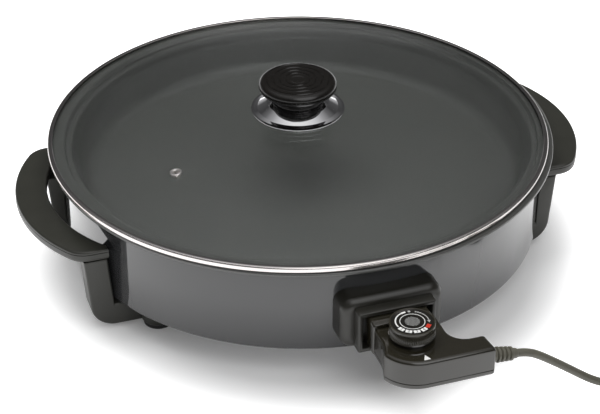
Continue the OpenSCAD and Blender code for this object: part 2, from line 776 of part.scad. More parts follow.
// The cone: a chromed pressing with a flat lip round its foot
module knob_cone() {
    t = 1;
    lip = 2.2;
    color(steel) rotate_extrude($fn = 120) polygon([
        [knob_screw_r + 0.6, cone_top_z], [neck_r, cone_top_z], [neck_r + 5, cone_top_z - 1.6],
        [cone_r - lip - 3, cone_foot_z + 2.6], [cone_r - lip, cone_foot_z + 1.7],
        [cone_r - 0.4, cone_foot_z + 1.4], [cone_r, cone_foot_z + 0.9], [cone_r, cone_foot_z],
        [cone_r - lip, cone_foot_z], [cone_r - lip - 3, cone_foot_z + 1.4],
        [neck_r + 4.6, cone_top_z - 1.6 - t], [neck_r, cone_top_z - t], [knob_screw_r + 0.6, cone_top_z - t]]);
}

// The knob: a ribbed neck that widens in steps to a round disc with rings sunk in its top
module knob_grip() {
    disc_z = cone_top_z + 8.5;
    mid_z = (disc_z + knob_top_z) / 2;
    half = (knob_top_z - disc_z) / 2;
    neck_steps = 4;
    step = 1.05;
    rings = [9, 14, 19, 24];
    color(gloss_black) difference() {
        rotate_extrude($fn = 120) {
            polygon(concat(
                [[0, cone_top_z]],
                [for (i = [0:neck_steps - 1], c = [[0, 0], [0.9, 0.5], [0.9, 1.7], [0.2, 2.1]])
                 [neck_r + i * step + c[0] - 0.9, cone_top_z + i * 8.5 / neck_steps + c[1]]],
                [[neck_r + neck_steps * step, disc_z], [0, disc_z]]));
            translate([0, disc_z]) square([knob_r - half, 2 * half]);
            translate([knob_r - half, mid_z]) circle(r = half, $fn = 48);
        }
        for (r = rings) translate([0, 0, knob_top_z - 0.5]) ring(r + 1.2, r, 2);
        translate([0, 0, cone_top_z - over]) cylinder(r = knob_screw_r + slip, h = 12 + over);
    }
}

module knob_screw() {
    head_z = apex_z - glass_t - 1.5;
    color(steel) translate([0, 0, head_z]) screw(knob_screw_r, cone_top_z + 11 - head_z, 5.5, 3);
}

module knob_washer() {
    color(steel) translate([0, 0, apex_z - glass_t - 1.4]) ring(10, knob_screw_r + slip, 1.2);
}

// ---------------------------------------------------------------- thermostat

// The body's outline, drawn in by i: its left side flares out to a corner, its front is a wide
// curve, and a cable arm stands out to the right
function arm_end(i, along) = arm_x - i - arm_slope * along;

function control_outline(i) =
    let (half = control_w / 2,
         y = -front_y,
         side_x = half - flare,
         flare_y = y + front_corner - front_corner * sin(corner_turn) + flare_l)
    concat([[-side_x + i, -control_y - i]],
           [for (k = [0:5]) [-side_x + i - flare * (1 - cos(15 * k)), flare_y - flare_l * k / 6]],
           arc(front_corner_x, y + front_corner, front_corner - i, 180 + corner_turn, 270, 8),
           [[arm_end(i, i) - 2, y + i], [arm_end(i, i), y + 2 + i],
            [arm_end(i, arm_w - 2 - i), y + arm_w - i]],
           arc(half + arm_corner, y + arm_w + arm_corner, arm_corner + i, 270, 180, 7),
           [[half - i, -control_y - i]]);

// The nose's upper part, with a raised top that ends in a step above the body
module nose_block(i) {
    w = nose_w - 2 * i;
    top = control_z + nose_h - i;
    foot = split_z + 0.2 - i * 2;
    r = 2 - 0.75 * i;
    translate([0, -nose_y - i, 0]) rotate([90, 0, 0]) linear_extrude(nose_end_y - nose_y - 2 * i)
        polygon(concat([[-w / 2, foot], [w / 2, foot]],
                       arc(w / 2 - r, top - r, r, 0, 90, 4), arc(-w / 2 + r, top - r, r, 90, 180, 4)));
}

// The open front of the nose, round the receptacle block
module nose_mouth() {
    w = nose_w - 2 * shell_t;
    translate([-w / 2, -nose_y - shell_t - over, control_z + shell_t])
        cube([w, shell_t + 2 * over, nose_h - 2 * shell_t - 0.8]);
}

module control_top() {
    bevel = [[split_z, 0], [wall_top_z, 0], [wall_top_z + 1.4, 0.4], [wall_top_z + 2.4, 1.3],
             [control_top_z, 2.8]];
    color(gloss_black) difference() {
        union() {
            loft([for (b = bevel) at_height(control_outline(b[1]), b[0])], control_hub);
            nose_block(0);
        }
        difference() {
            translate([0, 0, split_z - over]) linear_extrude(wall_top_z - split_z)
                polygon(control_outline(shell_t));
            at_control_screws() cylinder(r = 4, h = control_top_z - control_z);
        }
        nose_block(shell_t);
        nose_mouth();
        at_control_screws() cylinder(r = m3_r + slip, h = 15);
        translate([0, -dial_y, split_z]) cylinder(r = spindle_r + run, h = 2 * collar_h + control_top_z);
        at_pointer() linear_extrude(over) pointer_shape(slip);
        strain_seat();
    }
}

// The bottom tray, with a small round edge at its underside
module control_base() {
    levels = [[control_z, 1.5], [control_z + 0.5, 0.7], [control_z + 1.2, 0.3], [split_z, 0.2]];
    color(gloss_black) difference() {
        union() {
            loft([for (b = levels) at_height(control_outline(b[1]), b[0])], control_hub);
            translate([-nose_w / 2, -nose_end_y, control_z + 0.2])
                cube([nose_w, nose_end_y - nose_y, split_z - control_z - 0.4]);
        }
        translate([0, 0, control_z + shell_t]) linear_extrude(split_z - control_z)
            polygon(control_outline(shell_t + 2));
        translate([-nose_w / 2 + shell_t, -nose_end_y - shell_t, control_z + shell_t])
            cube([nose_w - 2 * shell_t, nose_end_y - nose_y, split_z - control_z]);
        nose_mouth();
        strain_seat();
        at_control_screws() {
            translate([0, 0, -over]) cylinder(r = 3.4, h = 1 + over);
            cylinder(r = m3_r + slip, h = split_z);
        }
    }
}

module at_control_screws() {
    for (p = [[-17, -front_y + 16], [20, -control_y - 14]]) translate([p[0], p[1], control_z]) children();
}

module control_screws() {
    color(steel) at_control_screws() translate([0, 0, 1]) screw(m3_r, 12, 2 * m3_r, 0.9);
}

// The strain relief's axis, pointing out of the arm's end
module along_relief() {
    translate([arm_x - 1, -relief_y, relief_z]) rotate([0, 90 + relief_tilt, 0]) children();
}

module strain_seat() {
    along_relief() translate([0, 0, -6]) cylinder(r = 5.4 + slip, h = 12);
    along_relief() translate([0, 0, -4.5]) cylinder(r = 7 + slip, h = 2.5 + 2 * slip);
}

module strain_relief() {
    ribs = 4;
    pitch = 3.6;
    start = relief_l - ribs * pitch - 0.6;
    color(lead_grey) along_relief() difference() {
        union() {
            translate([0, 0, -6]) cylinder(r = 5.4, h = 6);
            translate([0, 0, -4.4]) cylinder(r = 7, h = 2.5);
            cylinder(r1 = 5.4, r2 = 4.2, h = relief_l + 1);
            for (k = [0:ribs - 1]) translate([0, 0, start + k * pitch])
                cylinder(r1 = 6 - 0.25 * k, r2 = 5.7 - 0.25 * k, h = 2);
        }
        translate([0, 0, -6 - over]) cylinder(r = cord_r - 0.6, h = 4);
    }
}

module dial_collar() {
    color(gloss_black) translate([0, -dial_y, control_top_z]) ring(dial_r - 1.6, spindle_r + run, collar_h);
}

module pointer_shape(grow) {
    polygon([[-2.6 - grow, -3 - grow], [2.6 + grow, -3 - grow], [0, 2.8 + 2 * grow]]);
}

module at_pointer() {
    translate([0.6, -front_y + 6.4, control_top_z - 0.4]) children();
}

module pointer_mark() {
    color(white) at_pointer() linear_extrude(0.6) pointer_shape(0);
}

module receptacle_block() {
    w = nose_w - 2 * shell_t - 2 * slip;
    color(ceramic) difference() {
        translate([-w / 2, -nose_y - 12, control_z + shell_t + slip])
            cube([w, 12, nose_h - 2 * shell_t - over]);
        for (s = [-1, 1]) translate([s * terminal_x, -nose_y + over, terminal_z])
            rotate([90, 0, 0]) cylinder(r = sleeve_r + slip, h = 12 + 2 * over);
        translate([0, -nose_y + over, terminal_z]) rotate([90, 0, 0])
            cylinder(r = probe_r + slip, h = 12 + 2 * over);
        translate([-4.6, -nose_y - 10, terminal_z - 10.6]) cube([9.2, 10 + over, 2.4]);
    }
}

module contact_sleeves() {
    color(copper) for (s = [-1, 1]) translate([s * terminal_x, -nose_y, terminal_z]) rotate([90, 0, 0])
        ring(sleeve_r, pin_r + slip, 20);
}

module probe_rod() {
    tip_y = 147;
    color(steel) {
        translate([0, -tip_y, terminal_z]) rotate([90, 0, 0]) cylinder(r = probe_r, h = nose_y + 16 - tip_y);
        translate([0, -tip_y, terminal_z]) sphere(r = probe_r, $fn = 32);
        translate([0, -nose_y - 12.1, terminal_z]) rotate([90, 0, 0]) cylinder(r = probe_r + 1.5, h = 3.9);
    }
}

// The switch: a bracket behind the block, a bimetal strip and two contact arms
module switch_bracket() {
    back_y = nose_y + 16;
    color(steel) difference() {
        union() {
            translate([-9, -back_y - 1.2, control_z + shell_t])
                cube([18, 1.2, terminal_z + 6 - control_z - shell_t]);
            translate([-9, -dial_y - 5, control_z + shell_t]) cube([18, dial_y + 5 - back_y - 1.2, 1.2]);
        }
        translate([0, -back_y + over, terminal_z]) rotate([90, 0, 0]) cylinder(r = 1, h = 4);
    }
}

module bimetal_strip() {
    color(copper) {
        translate([-3, -dial_y - 5, control_z + shell_t + 1.2]) cube([6, 5, 3]);
        translate([-3, -dial_y - 5, control_z + shell_t + 4.2]) cube([6, 14, 1]);
    }
}

module contact_arms() {
    color(copper) for (s = [-1, 1]) {
        translate([s * terminal_x - 1.8, -nose_y - 38, terminal_z - 1]) cube([3.6, 18, 0.8]);
        translate([s * terminal_x, -nose_y - 20, terminal_z]) rotate([90, 0, 0]) cylinder(r = 2, h = 3);
        translate([s * terminal_x, -nose_y - 35, terminal_z - 3]) cylinder(r = 1.8, h = 2);
    }
}

// ---------------------------------------------------------------- dial

// The dial's outline: a round with a shallow rib at each step
function ribbed(r, depth, n) =
    [for (i = [0:n - 1], k = [0, 0.5]) let (a = 360 * (i + k) / n, rib_r = r - (k == 0 ? 0 : depth))
     rib_r * [cos(a), sin(a)]];

module dial_knob() {
    ring_h = 1.6;
    color(gloss_black) translate([0, -dial_y, 0]) difference() {
        union() {
            translate([0, 0, dial_z]) cylinder(r = dial_r - 0.8, h = dial_h - 0.4);
            translate([0, 0, dial_z + ring_h]) linear_extrude(dial_h - ring_h - 1.8)
                polygon(ribbed(dial_r - 0.1, 0.5, dial_ribs));
            translate([0, 0, dial_top_z - 1.8]) cylinder(r = dial_r, h = 0.8);
            translate([0, 0, dial_top_z - 1]) cylinder(r1 = dial_r, r2 = dial_r - 0.9, h = 1);
        }
        translate([0, 0, dial_top_z - 0.6]) cylinder(r = dial_r - 1.4, h = 2);
        translate([0, 0, dial_z - over]) cylinder(r = spindle_r + slip, h = 6 + over);
    }
}

module dial_face() {
    color(gloss_black) translate([0, -dial_y, dial_top_z - 0.6]) cylinder(r = dial_r - 1.5, h = 0.5);
}

module dial_ring() {
    color(steel) translate([0, -dial_y, dial_z + 0.4]) ring(dial_r + 0.2, dial_r - 0.8, 0.9);
}

module dial_spindle() {
    bottom_z = control_z + shell_t + 6;
    color(steel) translate([0, -dial_y, bottom_z]) {
        cylinder(r = spindle_r, h = dial_z + 6 - slip - bottom_z);
        translate([0, 0, 1]) cylinder(r = spindle_r + 2, h = 2);
    }
}

// ---------------------------------------------------------------- lead and plug

module cord_lead() {
    color(lead_grey) tube(lead_route, cord_r, 10);
}

module cord_coil() {
    color(lead_grey) translate([coil_x, coil_y, coil_z]) rotate_extrude($fn = 72)
        polygon([for (p = round_box(coil_out_r - coil_in_r, coil_h, 3, 3))
                 [p[0] + (coil_out_r + coil_in_r) / 2, p[1] + coil_h / 2]]);
}

module cord_tie() {
    color(gloss_black) translate([coil_x - tie_w / 2, coil_y + coil_in_r - 2 * tie_t, 0]) difference() {
        cube([tie_w, coil_out_r - coil_in_r + 4 * tie_t, coil_h + 2 * tie_t + 0.2]);
        translate([-over, tie_t, tie_t])
            cube([tie_w + 2 * over, coil_out_r - coil_in_r + 2 * tie_t, coil_h + 0.2]);
    }
}

module cord_tail() {
    color(lead_grey) tube(tail_route, cord_r, 10);
}

// The plug's axis: +Z points out of the pins' ends
module along_plug() {
    translate(plug_tail) rotate([0, -90, 0]) children();
}

module plug_body() {
    color(gloss_black) along_plug() difference() {
        union() {
            rotate_extrude() polygon([[0, 0], [4.4, 0], [5.6, plug_relief_l - 3], [8, plug_relief_l],
                [10.5, plug_relief_l + 4], [14.5, plug_relief_l + 10], [16.2, plug_relief_l + 16],
                [plug_r - 1.6, plug_relief_l + 21], [plug_r - 0.5, plug_relief_l + 23],
                [plug_r, plug_relief_l + 24], [plug_r, plug_relief_l + plug_l - 1],
                [plug_r - 1, plug_relief_l + plug_l], [0, plug_relief_l + plug_l]]);
            for (k = [0:3]) translate([0, 0, 4 + k * 4]) cylinder(r = 6 + 0.15 * k, h = 2);
        }
        for (s = [-1, 1]) translate([s * (plug_r - 1.4), -3.5, plug_relief_l + plug_l - 12])
            translate([s < 0 ? -over - 2 : 0, 0, 0]) cube([3 + over, 7, 12 + over]);
        for (s = [-1, 1]) translate([0, s * plug_pitch / 2, plug_relief_l + plug_l - 12])
            cylinder(r = plug_shank_r + slip, h = 12 + over);
    }
}

module plug_pins() {
    tip = 1.4;
    color(steel) along_plug() for (s = [-1, 1]) translate([0, s * plug_pitch / 2, plug_relief_l + plug_l]) {
        translate([0, 0, -11.9]) cylinder(r = plug_shank_r, h = 12);
        cylinder(r = plug_pin_r, h = plug_pin_l - tip);
        translate([0, 0, plug_pin_l - tip]) cylinder(r1 = plug_pin_r, r2 = plug_pin_r - 1.2, h = tip);
    }
}

module plug_earth() {
    color(steel) along_plug() for (s = [-1, 1])
        translate([s * (plug_r - 0.9) - 0.5, -3.3, plug_relief_l + plug_l - 11.8]) cube([1, 6.6, 11.6]);
}

// ---------------------------------------------------------------- nodes

pan();
jacket();
base_plate();
base_screws();
heating_element();
element_seals();
element_clips_set();
terminal_pins();
probe_sleeve();
terminal_block();
earth_blade();
socket_shroud();
socket_frame();
socket_screws();
grip(-1);  // grip_left
grip(1);  // grip_right
at_leg(-1, -1) leg(is_far(-1, -1));  // leg_left_front
at_leg(-1, 1) leg(is_far(-1, 1));  // leg_left_back
at_leg(1, -1) leg(is_far(1, -1));  // leg_right_front
at_leg(1, 1) leg(is_far(1, 1));  // leg_right_back
at_leg(-1, -1) foot();  // foot_left_front
at_leg(-1, 1) foot();  // foot_left_back
at_leg(1, -1) foot();  // foot_right_front
at_leg(1, 1) foot();  // foot_right_back
leg_screws();
grip_screws();
on_lid() lid_glass();
on_lid() lid_rim();
on_lid() vent_eyelet();
on_lid() knob_cone();
on_lid() knob_grip();
on_lid() knob_screw();
on_lid() knob_washer();
control_top();
control_base();
control_screws();
dial_collar();
pointer_mark();
receptacle_block();
contact_sleeves();
probe_rod();
switch_bracket();
bimetal_strip();
contact_arms();
strain_relief();
cord_lead();
cord_coil();
cord_tie();
cord_tail();
plug_body();
plug_pins();
plug_earth();
dial_knob();
dial_face();
dial_ring();
dial_spindle();
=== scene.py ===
"""The looks of a round electric skillet with a glass lid and a plug-in thermostat.

Lengths are in metres. Only the lead's routes, its coil and the rows of the strain relief, the dial and
the vent are in millimetres until they are used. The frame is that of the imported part: +X runs through the
right handle, -Y runs out through the thermostat, +Z is up, and the origin is on the table, under the
middle of the pan.
"""

import json
import math

import bmesh
import bpy
from mathutils import Matrix, Vector


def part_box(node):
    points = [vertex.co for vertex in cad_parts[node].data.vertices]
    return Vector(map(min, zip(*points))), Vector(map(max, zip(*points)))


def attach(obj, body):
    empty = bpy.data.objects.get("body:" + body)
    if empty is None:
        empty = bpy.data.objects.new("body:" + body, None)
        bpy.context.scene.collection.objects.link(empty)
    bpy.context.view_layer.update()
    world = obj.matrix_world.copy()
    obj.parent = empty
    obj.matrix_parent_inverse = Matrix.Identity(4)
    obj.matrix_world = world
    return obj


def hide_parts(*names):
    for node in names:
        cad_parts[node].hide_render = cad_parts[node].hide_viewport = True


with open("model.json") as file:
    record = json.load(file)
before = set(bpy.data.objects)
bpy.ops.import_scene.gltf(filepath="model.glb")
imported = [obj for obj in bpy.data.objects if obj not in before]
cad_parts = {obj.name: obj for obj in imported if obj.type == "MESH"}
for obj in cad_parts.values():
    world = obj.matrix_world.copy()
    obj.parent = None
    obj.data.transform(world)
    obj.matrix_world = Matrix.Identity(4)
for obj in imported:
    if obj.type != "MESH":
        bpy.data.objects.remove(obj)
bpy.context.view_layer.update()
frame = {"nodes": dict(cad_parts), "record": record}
NODES = frame["nodes"]
MM = 0.001


# ---------------------------------------------------------------- sizes, read from the frame

def span(node, axis):
    """Lowest and highest place of a node along an axis."""
    low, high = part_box(node)
    return low[axis], high[axis]


LIP_R = span("pan", 0)[1]
RIM_Z = span("pan", 2)[1]
BASE_Z, LIP_UNDER_Z = span("jacket", 2)
BODY_R = span("jacket", 0)[1]
LID_X = sum(span("lid_rim", 0)) / 2
LID_R = span("lid_rim", 0)[1] - LID_X
LID_RIM_Z = span("lid_rim", 2)
GLASS_Z, APEX_Z = span("lid_glass", 2)
CONE_Z = span("knob_cone", 2)
CONE_R = span("knob_cone", 0)[1] - LID_X
KNOB_TOP_Z = span("knob_grip", 2)[1]
KNOB_R = span("knob_grip", 0)[1] - LID_X
GRIP_Z = span("grip_right", 2)
GRIP_REACH = span("grip_right", 0)[1]
GRIP_HALF = span("grip_right", 1)[1]
SHROUD_Y = -span("socket_shroud", 1)[0]
SHROUD_X = span("socket_shroud", 0)[1]
SHROUD_Z = span("socket_shroud", 2)
FRAME_Y = -span("socket_frame", 1)[0]
FRAME_BACK_Y = -span("socket_frame", 1)[1]
FRAME_X = span("socket_frame", 0)[1]
FRAME_Z = span("socket_frame", 2)
CONTROL_Z, SPLIT_Z = span("control_base", 2)
CONTROL_TOP_Z = span("dial_collar", 2)[0]
FRONT_Y = -span("control_top", 1)[0]
NOSE_Y = -span("control_top", 1)[1]
NOSE_TOP_Z = span("control_top", 2)[1]
DIAL_Y = -sum(span("dial_face", 1)) / 2
DIAL_TOP_Z = span("dial_knob", 2)[1]
DIAL_Z = span("dial_knob", 2)[0]
DIAL_R = span("dial_ring", 0)[1] - 0.2 * MM


# ---------------------------------------------------------------- camera

VIEW_FROM = Vector((-0.4190, -1.2370, 0.8609))
VIEW_ALONG = Vector((0.26969, 0.79864, -0.53800)).normalized()
VIEW_ROLL = -0.0019
LENS_MM, SENSOR_MM, NEAREST = 109.0, 36.0, 0.05


def make_camera():
    """The camera fitted to the photograph."""
    data = bpy.data.cameras.new("camera")
    data.lens = LENS_MM
    data.sensor_width = SENSOR_MM
    data.clip_start = NEAREST
    camera = bpy.data.objects.new("camera", data)
    bpy.context.scene.collection.objects.link(camera)
    turn = VIEW_ALONG.to_track_quat("-Z", "Y").to_matrix() @ Matrix.Rotation(VIEW_ROLL, 3, "Z")
    camera.matrix_world = Matrix.Translation(VIEW_FROM) @ turn.to_4x4()
    bpy.context.scene.camera = camera


# ---------------------------------------------------------------- mesh helpers

def add_object(name, data, body=None, material=None, slot=None, replaces=()):
    """Links a new object, and gives it its body, finish and the CAD nodes that it stands for."""
    piece = bpy.data.objects.new(name, data)
    bpy.context.scene.collection.objects.link(piece)
    if material:
        data.materials.append(material)
    if body:
        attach(piece, body)
    if replaces:
        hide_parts(*replaces)
    return piece


def mesh_piece(name, verts, faces, sharp_deg=32, **how):
    """A piece from points and faces, smooth but for edges that turn more than sharp_deg."""
    mesh = bpy.data.meshes.new(name)
    mesh.from_pydata([tuple(v) for v in verts], [], faces)
    bm = bmesh.new()
    bm.from_mesh(mesh)
    bmesh.ops.remove_doubles(bm, verts=bm.verts, dist=1e-6)
    bmesh.ops.recalc_face_normals(bm, faces=bm.faces)
    limit = math.radians(sharp_deg)
    for face in bm.faces:
        face.smooth = True
    for edge in bm.edges:
        edge.smooth = not (len(edge.link_faces) == 2 and edge.calc_face_angle() > limit)
    bm.to_mesh(mesh)
    bm.free()
    return add_object(name, mesh, **how)


def quarter(steps, first=0):
    """Angles from 0 to a right angle, in equal steps."""
    return [math.pi / 2 * k / steps for k in range(first, steps + 1)]


def hoop(centre, side, up, r, steps):
    """A circle of radius r round centre, in the plane of two directions."""
    angles = [2 * math.pi * i / steps for i in range(steps)]
    return [centre + r * (math.cos(a) * side + math.sin(a) * up) for a in angles]


def arc(cx, cy, r, start_deg, end_deg, steps):
    """Points on an arc about (cx, cy)."""
    angles = [math.radians(start_deg + (end_deg - start_deg) * i / steps) for i in range(steps + 1)]
    return [(cx + r * math.cos(a), cy + r * math.sin(a)) for a in angles]


def filleted(points, radius, steps=4, closed=True):
    """The outline with each corner rounded by radius, or by what its sides leave room for."""
    count = len(points)
    out = []
    for i, point in enumerate(points):
        if not closed and i in (0, count - 1):
            out.append(tuple(point))
            continue
        here = Vector(point)
        back = Vector(points[i - 1]) - here
        ahead = Vector(points[(i + 1) % count]) - here
        half = back.angle(ahead) / 2
        if half < 0.05 or half > math.pi / 2 - 0.02:
            out.append(tuple(point))
            continue
        reach = min(radius / math.tan(half), back.length * 0.49, ahead.length * 0.49)
        start = here + back.normalized() * reach
        end = here + ahead.normalized() * reach
        for k in range(steps + 1):
            t = k / steps
            out.append(tuple(start * (1 - t) ** 2 + here * 2 * t * (1 - t) + end * t ** 2))
    return out


def held(points):
    """The line with a point near each end of every long stretch, so that flat parts shade flat."""
    pad = 0.3 * MM
    out = []
    for here, after in zip(points, points[1:]):
        a, b = Vector(here), Vector(after)
        out.append(tuple(a))
        if (b - a).length > 4 * pad:
            step = (b - a).normalized() * pad
            out += [tuple(a + step), tuple(b - step)]
    return out + [tuple(points[-1])]


def lathe(name, profile, centre=(0, 0), segments=240, **how):
    """A solid turned about the upright axis through centre, from (radius, height) points."""
    profile = held(profile)
    verts, faces, rings = [], [], []
    for r, z in profile:
        if r < 1e-7:
            rings.append([len(verts)] * segments)
            verts.append((centre[0], centre[1], z))
            continue
        rings.append(list(range(len(verts), len(verts) + segments)))
        for i in range(segments):
            a = 2 * math.pi * i / segments
            verts.append((centre[0] + r * math.cos(a), centre[1] + r * math.sin(a), z))
    for low, high in zip(rings, rings[1:] + rings[:1]):
        for i in range(segments):
            j = (i + 1) % segments
            face = [low[i], low[j], high[j], high[i]]
            face = [v for k, v in enumerate(face) if v != face[k - 1]]
            if len(face) >= 3:
                faces.append(face)
    return mesh_piece(name, verts, faces, **how)


def between(k, after, n):
    """The faces between ring k and ring after, of n points each."""
    return [[k * n + i, k * n + (i + 1) % n, after * n + (i + 1) % n, after * n + i] for i in range(n)]


def loft(name, rings, **how):
    """A closed solid through rings of equally many 3-D points."""
    n, last = len(rings[0]), len(rings) - 1
    faces = [list(range(n))[::-1], [last * n + i for i in range(n)]]
    for k in range(last):
        faces += between(k, k + 1, n)
    return mesh_piece(name, [p for ring in rings for p in ring], faces, **how)


def tube(name, rings, **how):
    """A closed solid through rings whose last one joins the first."""
    n, count = len(rings[0]), len(rings)
    faces = [face for k in range(count) for face in between(k, (k + 1) % count, n)]
    return mesh_piece(name, [p for ring in rings for p in ring], faces, **how)


def round_box(w, h, r, steps=6):
    """A rectangle with round corners, about the origin."""
    r = max(r, 0.05 * MM)
    x, y = w / 2 - r, h / 2 - r
    return (arc(x, -y, r, -90, 0, steps) + arc(x, y, r, 0, 90, steps)
            + arc(-x, y, r, 90, 180, steps) + arc(-x, -y, r, 180, 270, steps))


# ---------------------------------------------------------------- materials

ROUGH_SCALE, CLEAR_SHARE = 90.0, 0.25


def nodes_of(material):
    """The nodes and links of a material."""
    return material.node_tree.nodes, material.node_tree.links


def fill(node, values):
    """Sets a node's inputs by name."""
    for name, value in values.items():
        node.inputs[name].default_value = value


def feed(node, *values):
    """Links or sets a node's inputs in turn, and returns its first output."""
    for socket, value in zip(node.inputs, values):
        if isinstance(value, bpy.types.NodeSocket):
            node.id_data.links.new(value, socket)
        else:
            socket.default_value = value
    return node.outputs[0]


def finish(name, colour, roughness, metallic=0.0, ior=1.5, coat=0.0, coat_roughness=0.05,
           mottle=0.06, mottle_scale=40.0, rough_spread=0.05,
           grain=0.0, grain_scale=1500.0, sheen=0.0, stretch=(1, 1, 1)):
    """A procedural finish: colour and gloss that vary a little, and a fine grain in relief."""
    material = bpy.data.materials.new(name)
    material.use_nodes = True
    nodes, links = nodes_of(material)
    shader = nodes["Principled BSDF"]
    fill(shader, {"Metallic": metallic, "IOR": ior, "Coat Weight": coat,
                  "Coat Roughness": coat_roughness, "Sheen Weight": sheen})
    mapping = nodes.new("ShaderNodeMapping")
    mapping.inputs["Scale"].default_value = stretch
    links.new(nodes.new("ShaderNodeTexCoord").outputs["Object"], mapping.inputs["Vector"])

    def noise(scale, detail=4.0):
        node = nodes.new("ShaderNodeTexNoise")
        fill(node, {"Scale": scale, "Detail": detail})
        links.new(mapping.outputs["Vector"], node.inputs["Vector"])
        return node.outputs["Fac"]

    ramp = nodes.new("ShaderNodeValToRGB")
    for element, place, side in zip(ramp.color_ramp.elements, (0.3, 0.7), (-mottle, mottle)):
        element.position = place
        element.color = [min(1, c * (1 + side)) for c in colour] + [1]
    links.new(noise(mottle_scale), ramp.inputs["Fac"])
    links.new(ramp.outputs["Color"], shader.inputs["Base Color"])

    gloss = nodes.new("ShaderNodeMapRange")
    fill(gloss, {"To Min": max(0.02, roughness - rough_spread), "To Max": roughness + rough_spread})
    links.new(noise(ROUGH_SCALE), gloss.inputs["Value"])
    links.new(gloss.outputs["Result"], shader.inputs["Roughness"])

    if grain:
        bump = nodes.new("ShaderNodeBump")
        fill(bump, {"Strength": grain, "Distance": 0.1 * MM})
        links.new(noise(grain_scale, 2.0), bump.inputs["Height"])
        links.new(bump.outputs["Normal"], shader.inputs["Normal"])
    return material


def nonstick_coating():
    """Dark satin coating with a fine, bright fleck."""
    material = finish("nonstick", (0.053, 0.054, 0.0505), 0.30, ior=1.75, mottle=0.05, mottle_scale=25,
                      grain=0.35, grain_scale=2600, rough_spread=0.04)
    nodes, links = nodes_of(material)
    colour = nodes["Principled BSDF"].inputs["Base Color"]
    fleck = nodes.new("ShaderNodeTexVoronoi")
    fleck.inputs["Scale"].default_value = 700
    links.new(nodes.new("ShaderNodeTexCoord").outputs["Object"], fleck.inputs["Vector"])
    cut = nodes.new("ShaderNodeMapRange")
    fill(cut, {"From Min": 0.10, "From Max": 0.22, "To Min": 1.0, "To Max": 0.0})
    links.new(fleck.outputs["Distance"], cut.inputs["Value"])
    mix = nodes.new("ShaderNodeMix")
    mix.data_type = "RGBA"
    mix.inputs[7].default_value = (0.16, 0.165, 0.165, 1)
    links.new(cut.outputs["Result"], mix.inputs[0])
    links.new(colour.links[0].from_socket, mix.inputs[6])
    links.new(mix.outputs[2], colour)
    return material


def clear_glass():
    """Clear glass: a quarter of it is plainly clear, so it mirrors little of the room, and it casts
    no dark shadow on what lies under it."""
    material = bpy.data.materials.new("clear_glass")
    material.use_nodes = True
    nodes, links = nodes_of(material)
    shader = nodes["Principled BSDF"]
    fill(shader, {"Base Color": (0.965, 0.98, 0.972, 1), "Roughness": 0.0, "IOR": 1.45,
                  "Specular Tint": (0.55, 0.55, 0.55, 1), "Transmission Weight": 1.0})
    clear = feed(nodes.new("ShaderNodeBsdfTransparent"), (0.97, 0.98, 0.975, 1))
    thin = feed(nodes.new("ShaderNodeMixShader"), CLEAR_SHARE, shader.outputs[0], clear)
    shadow = nodes.new("ShaderNodeLightPath").outputs["Is Shadow Ray"]
    mix = feed(nodes.new("ShaderNodeMixShader"), shadow, thin, clear)
    links.new(mix, nodes["Material Output"].inputs["Surface"])
    return material


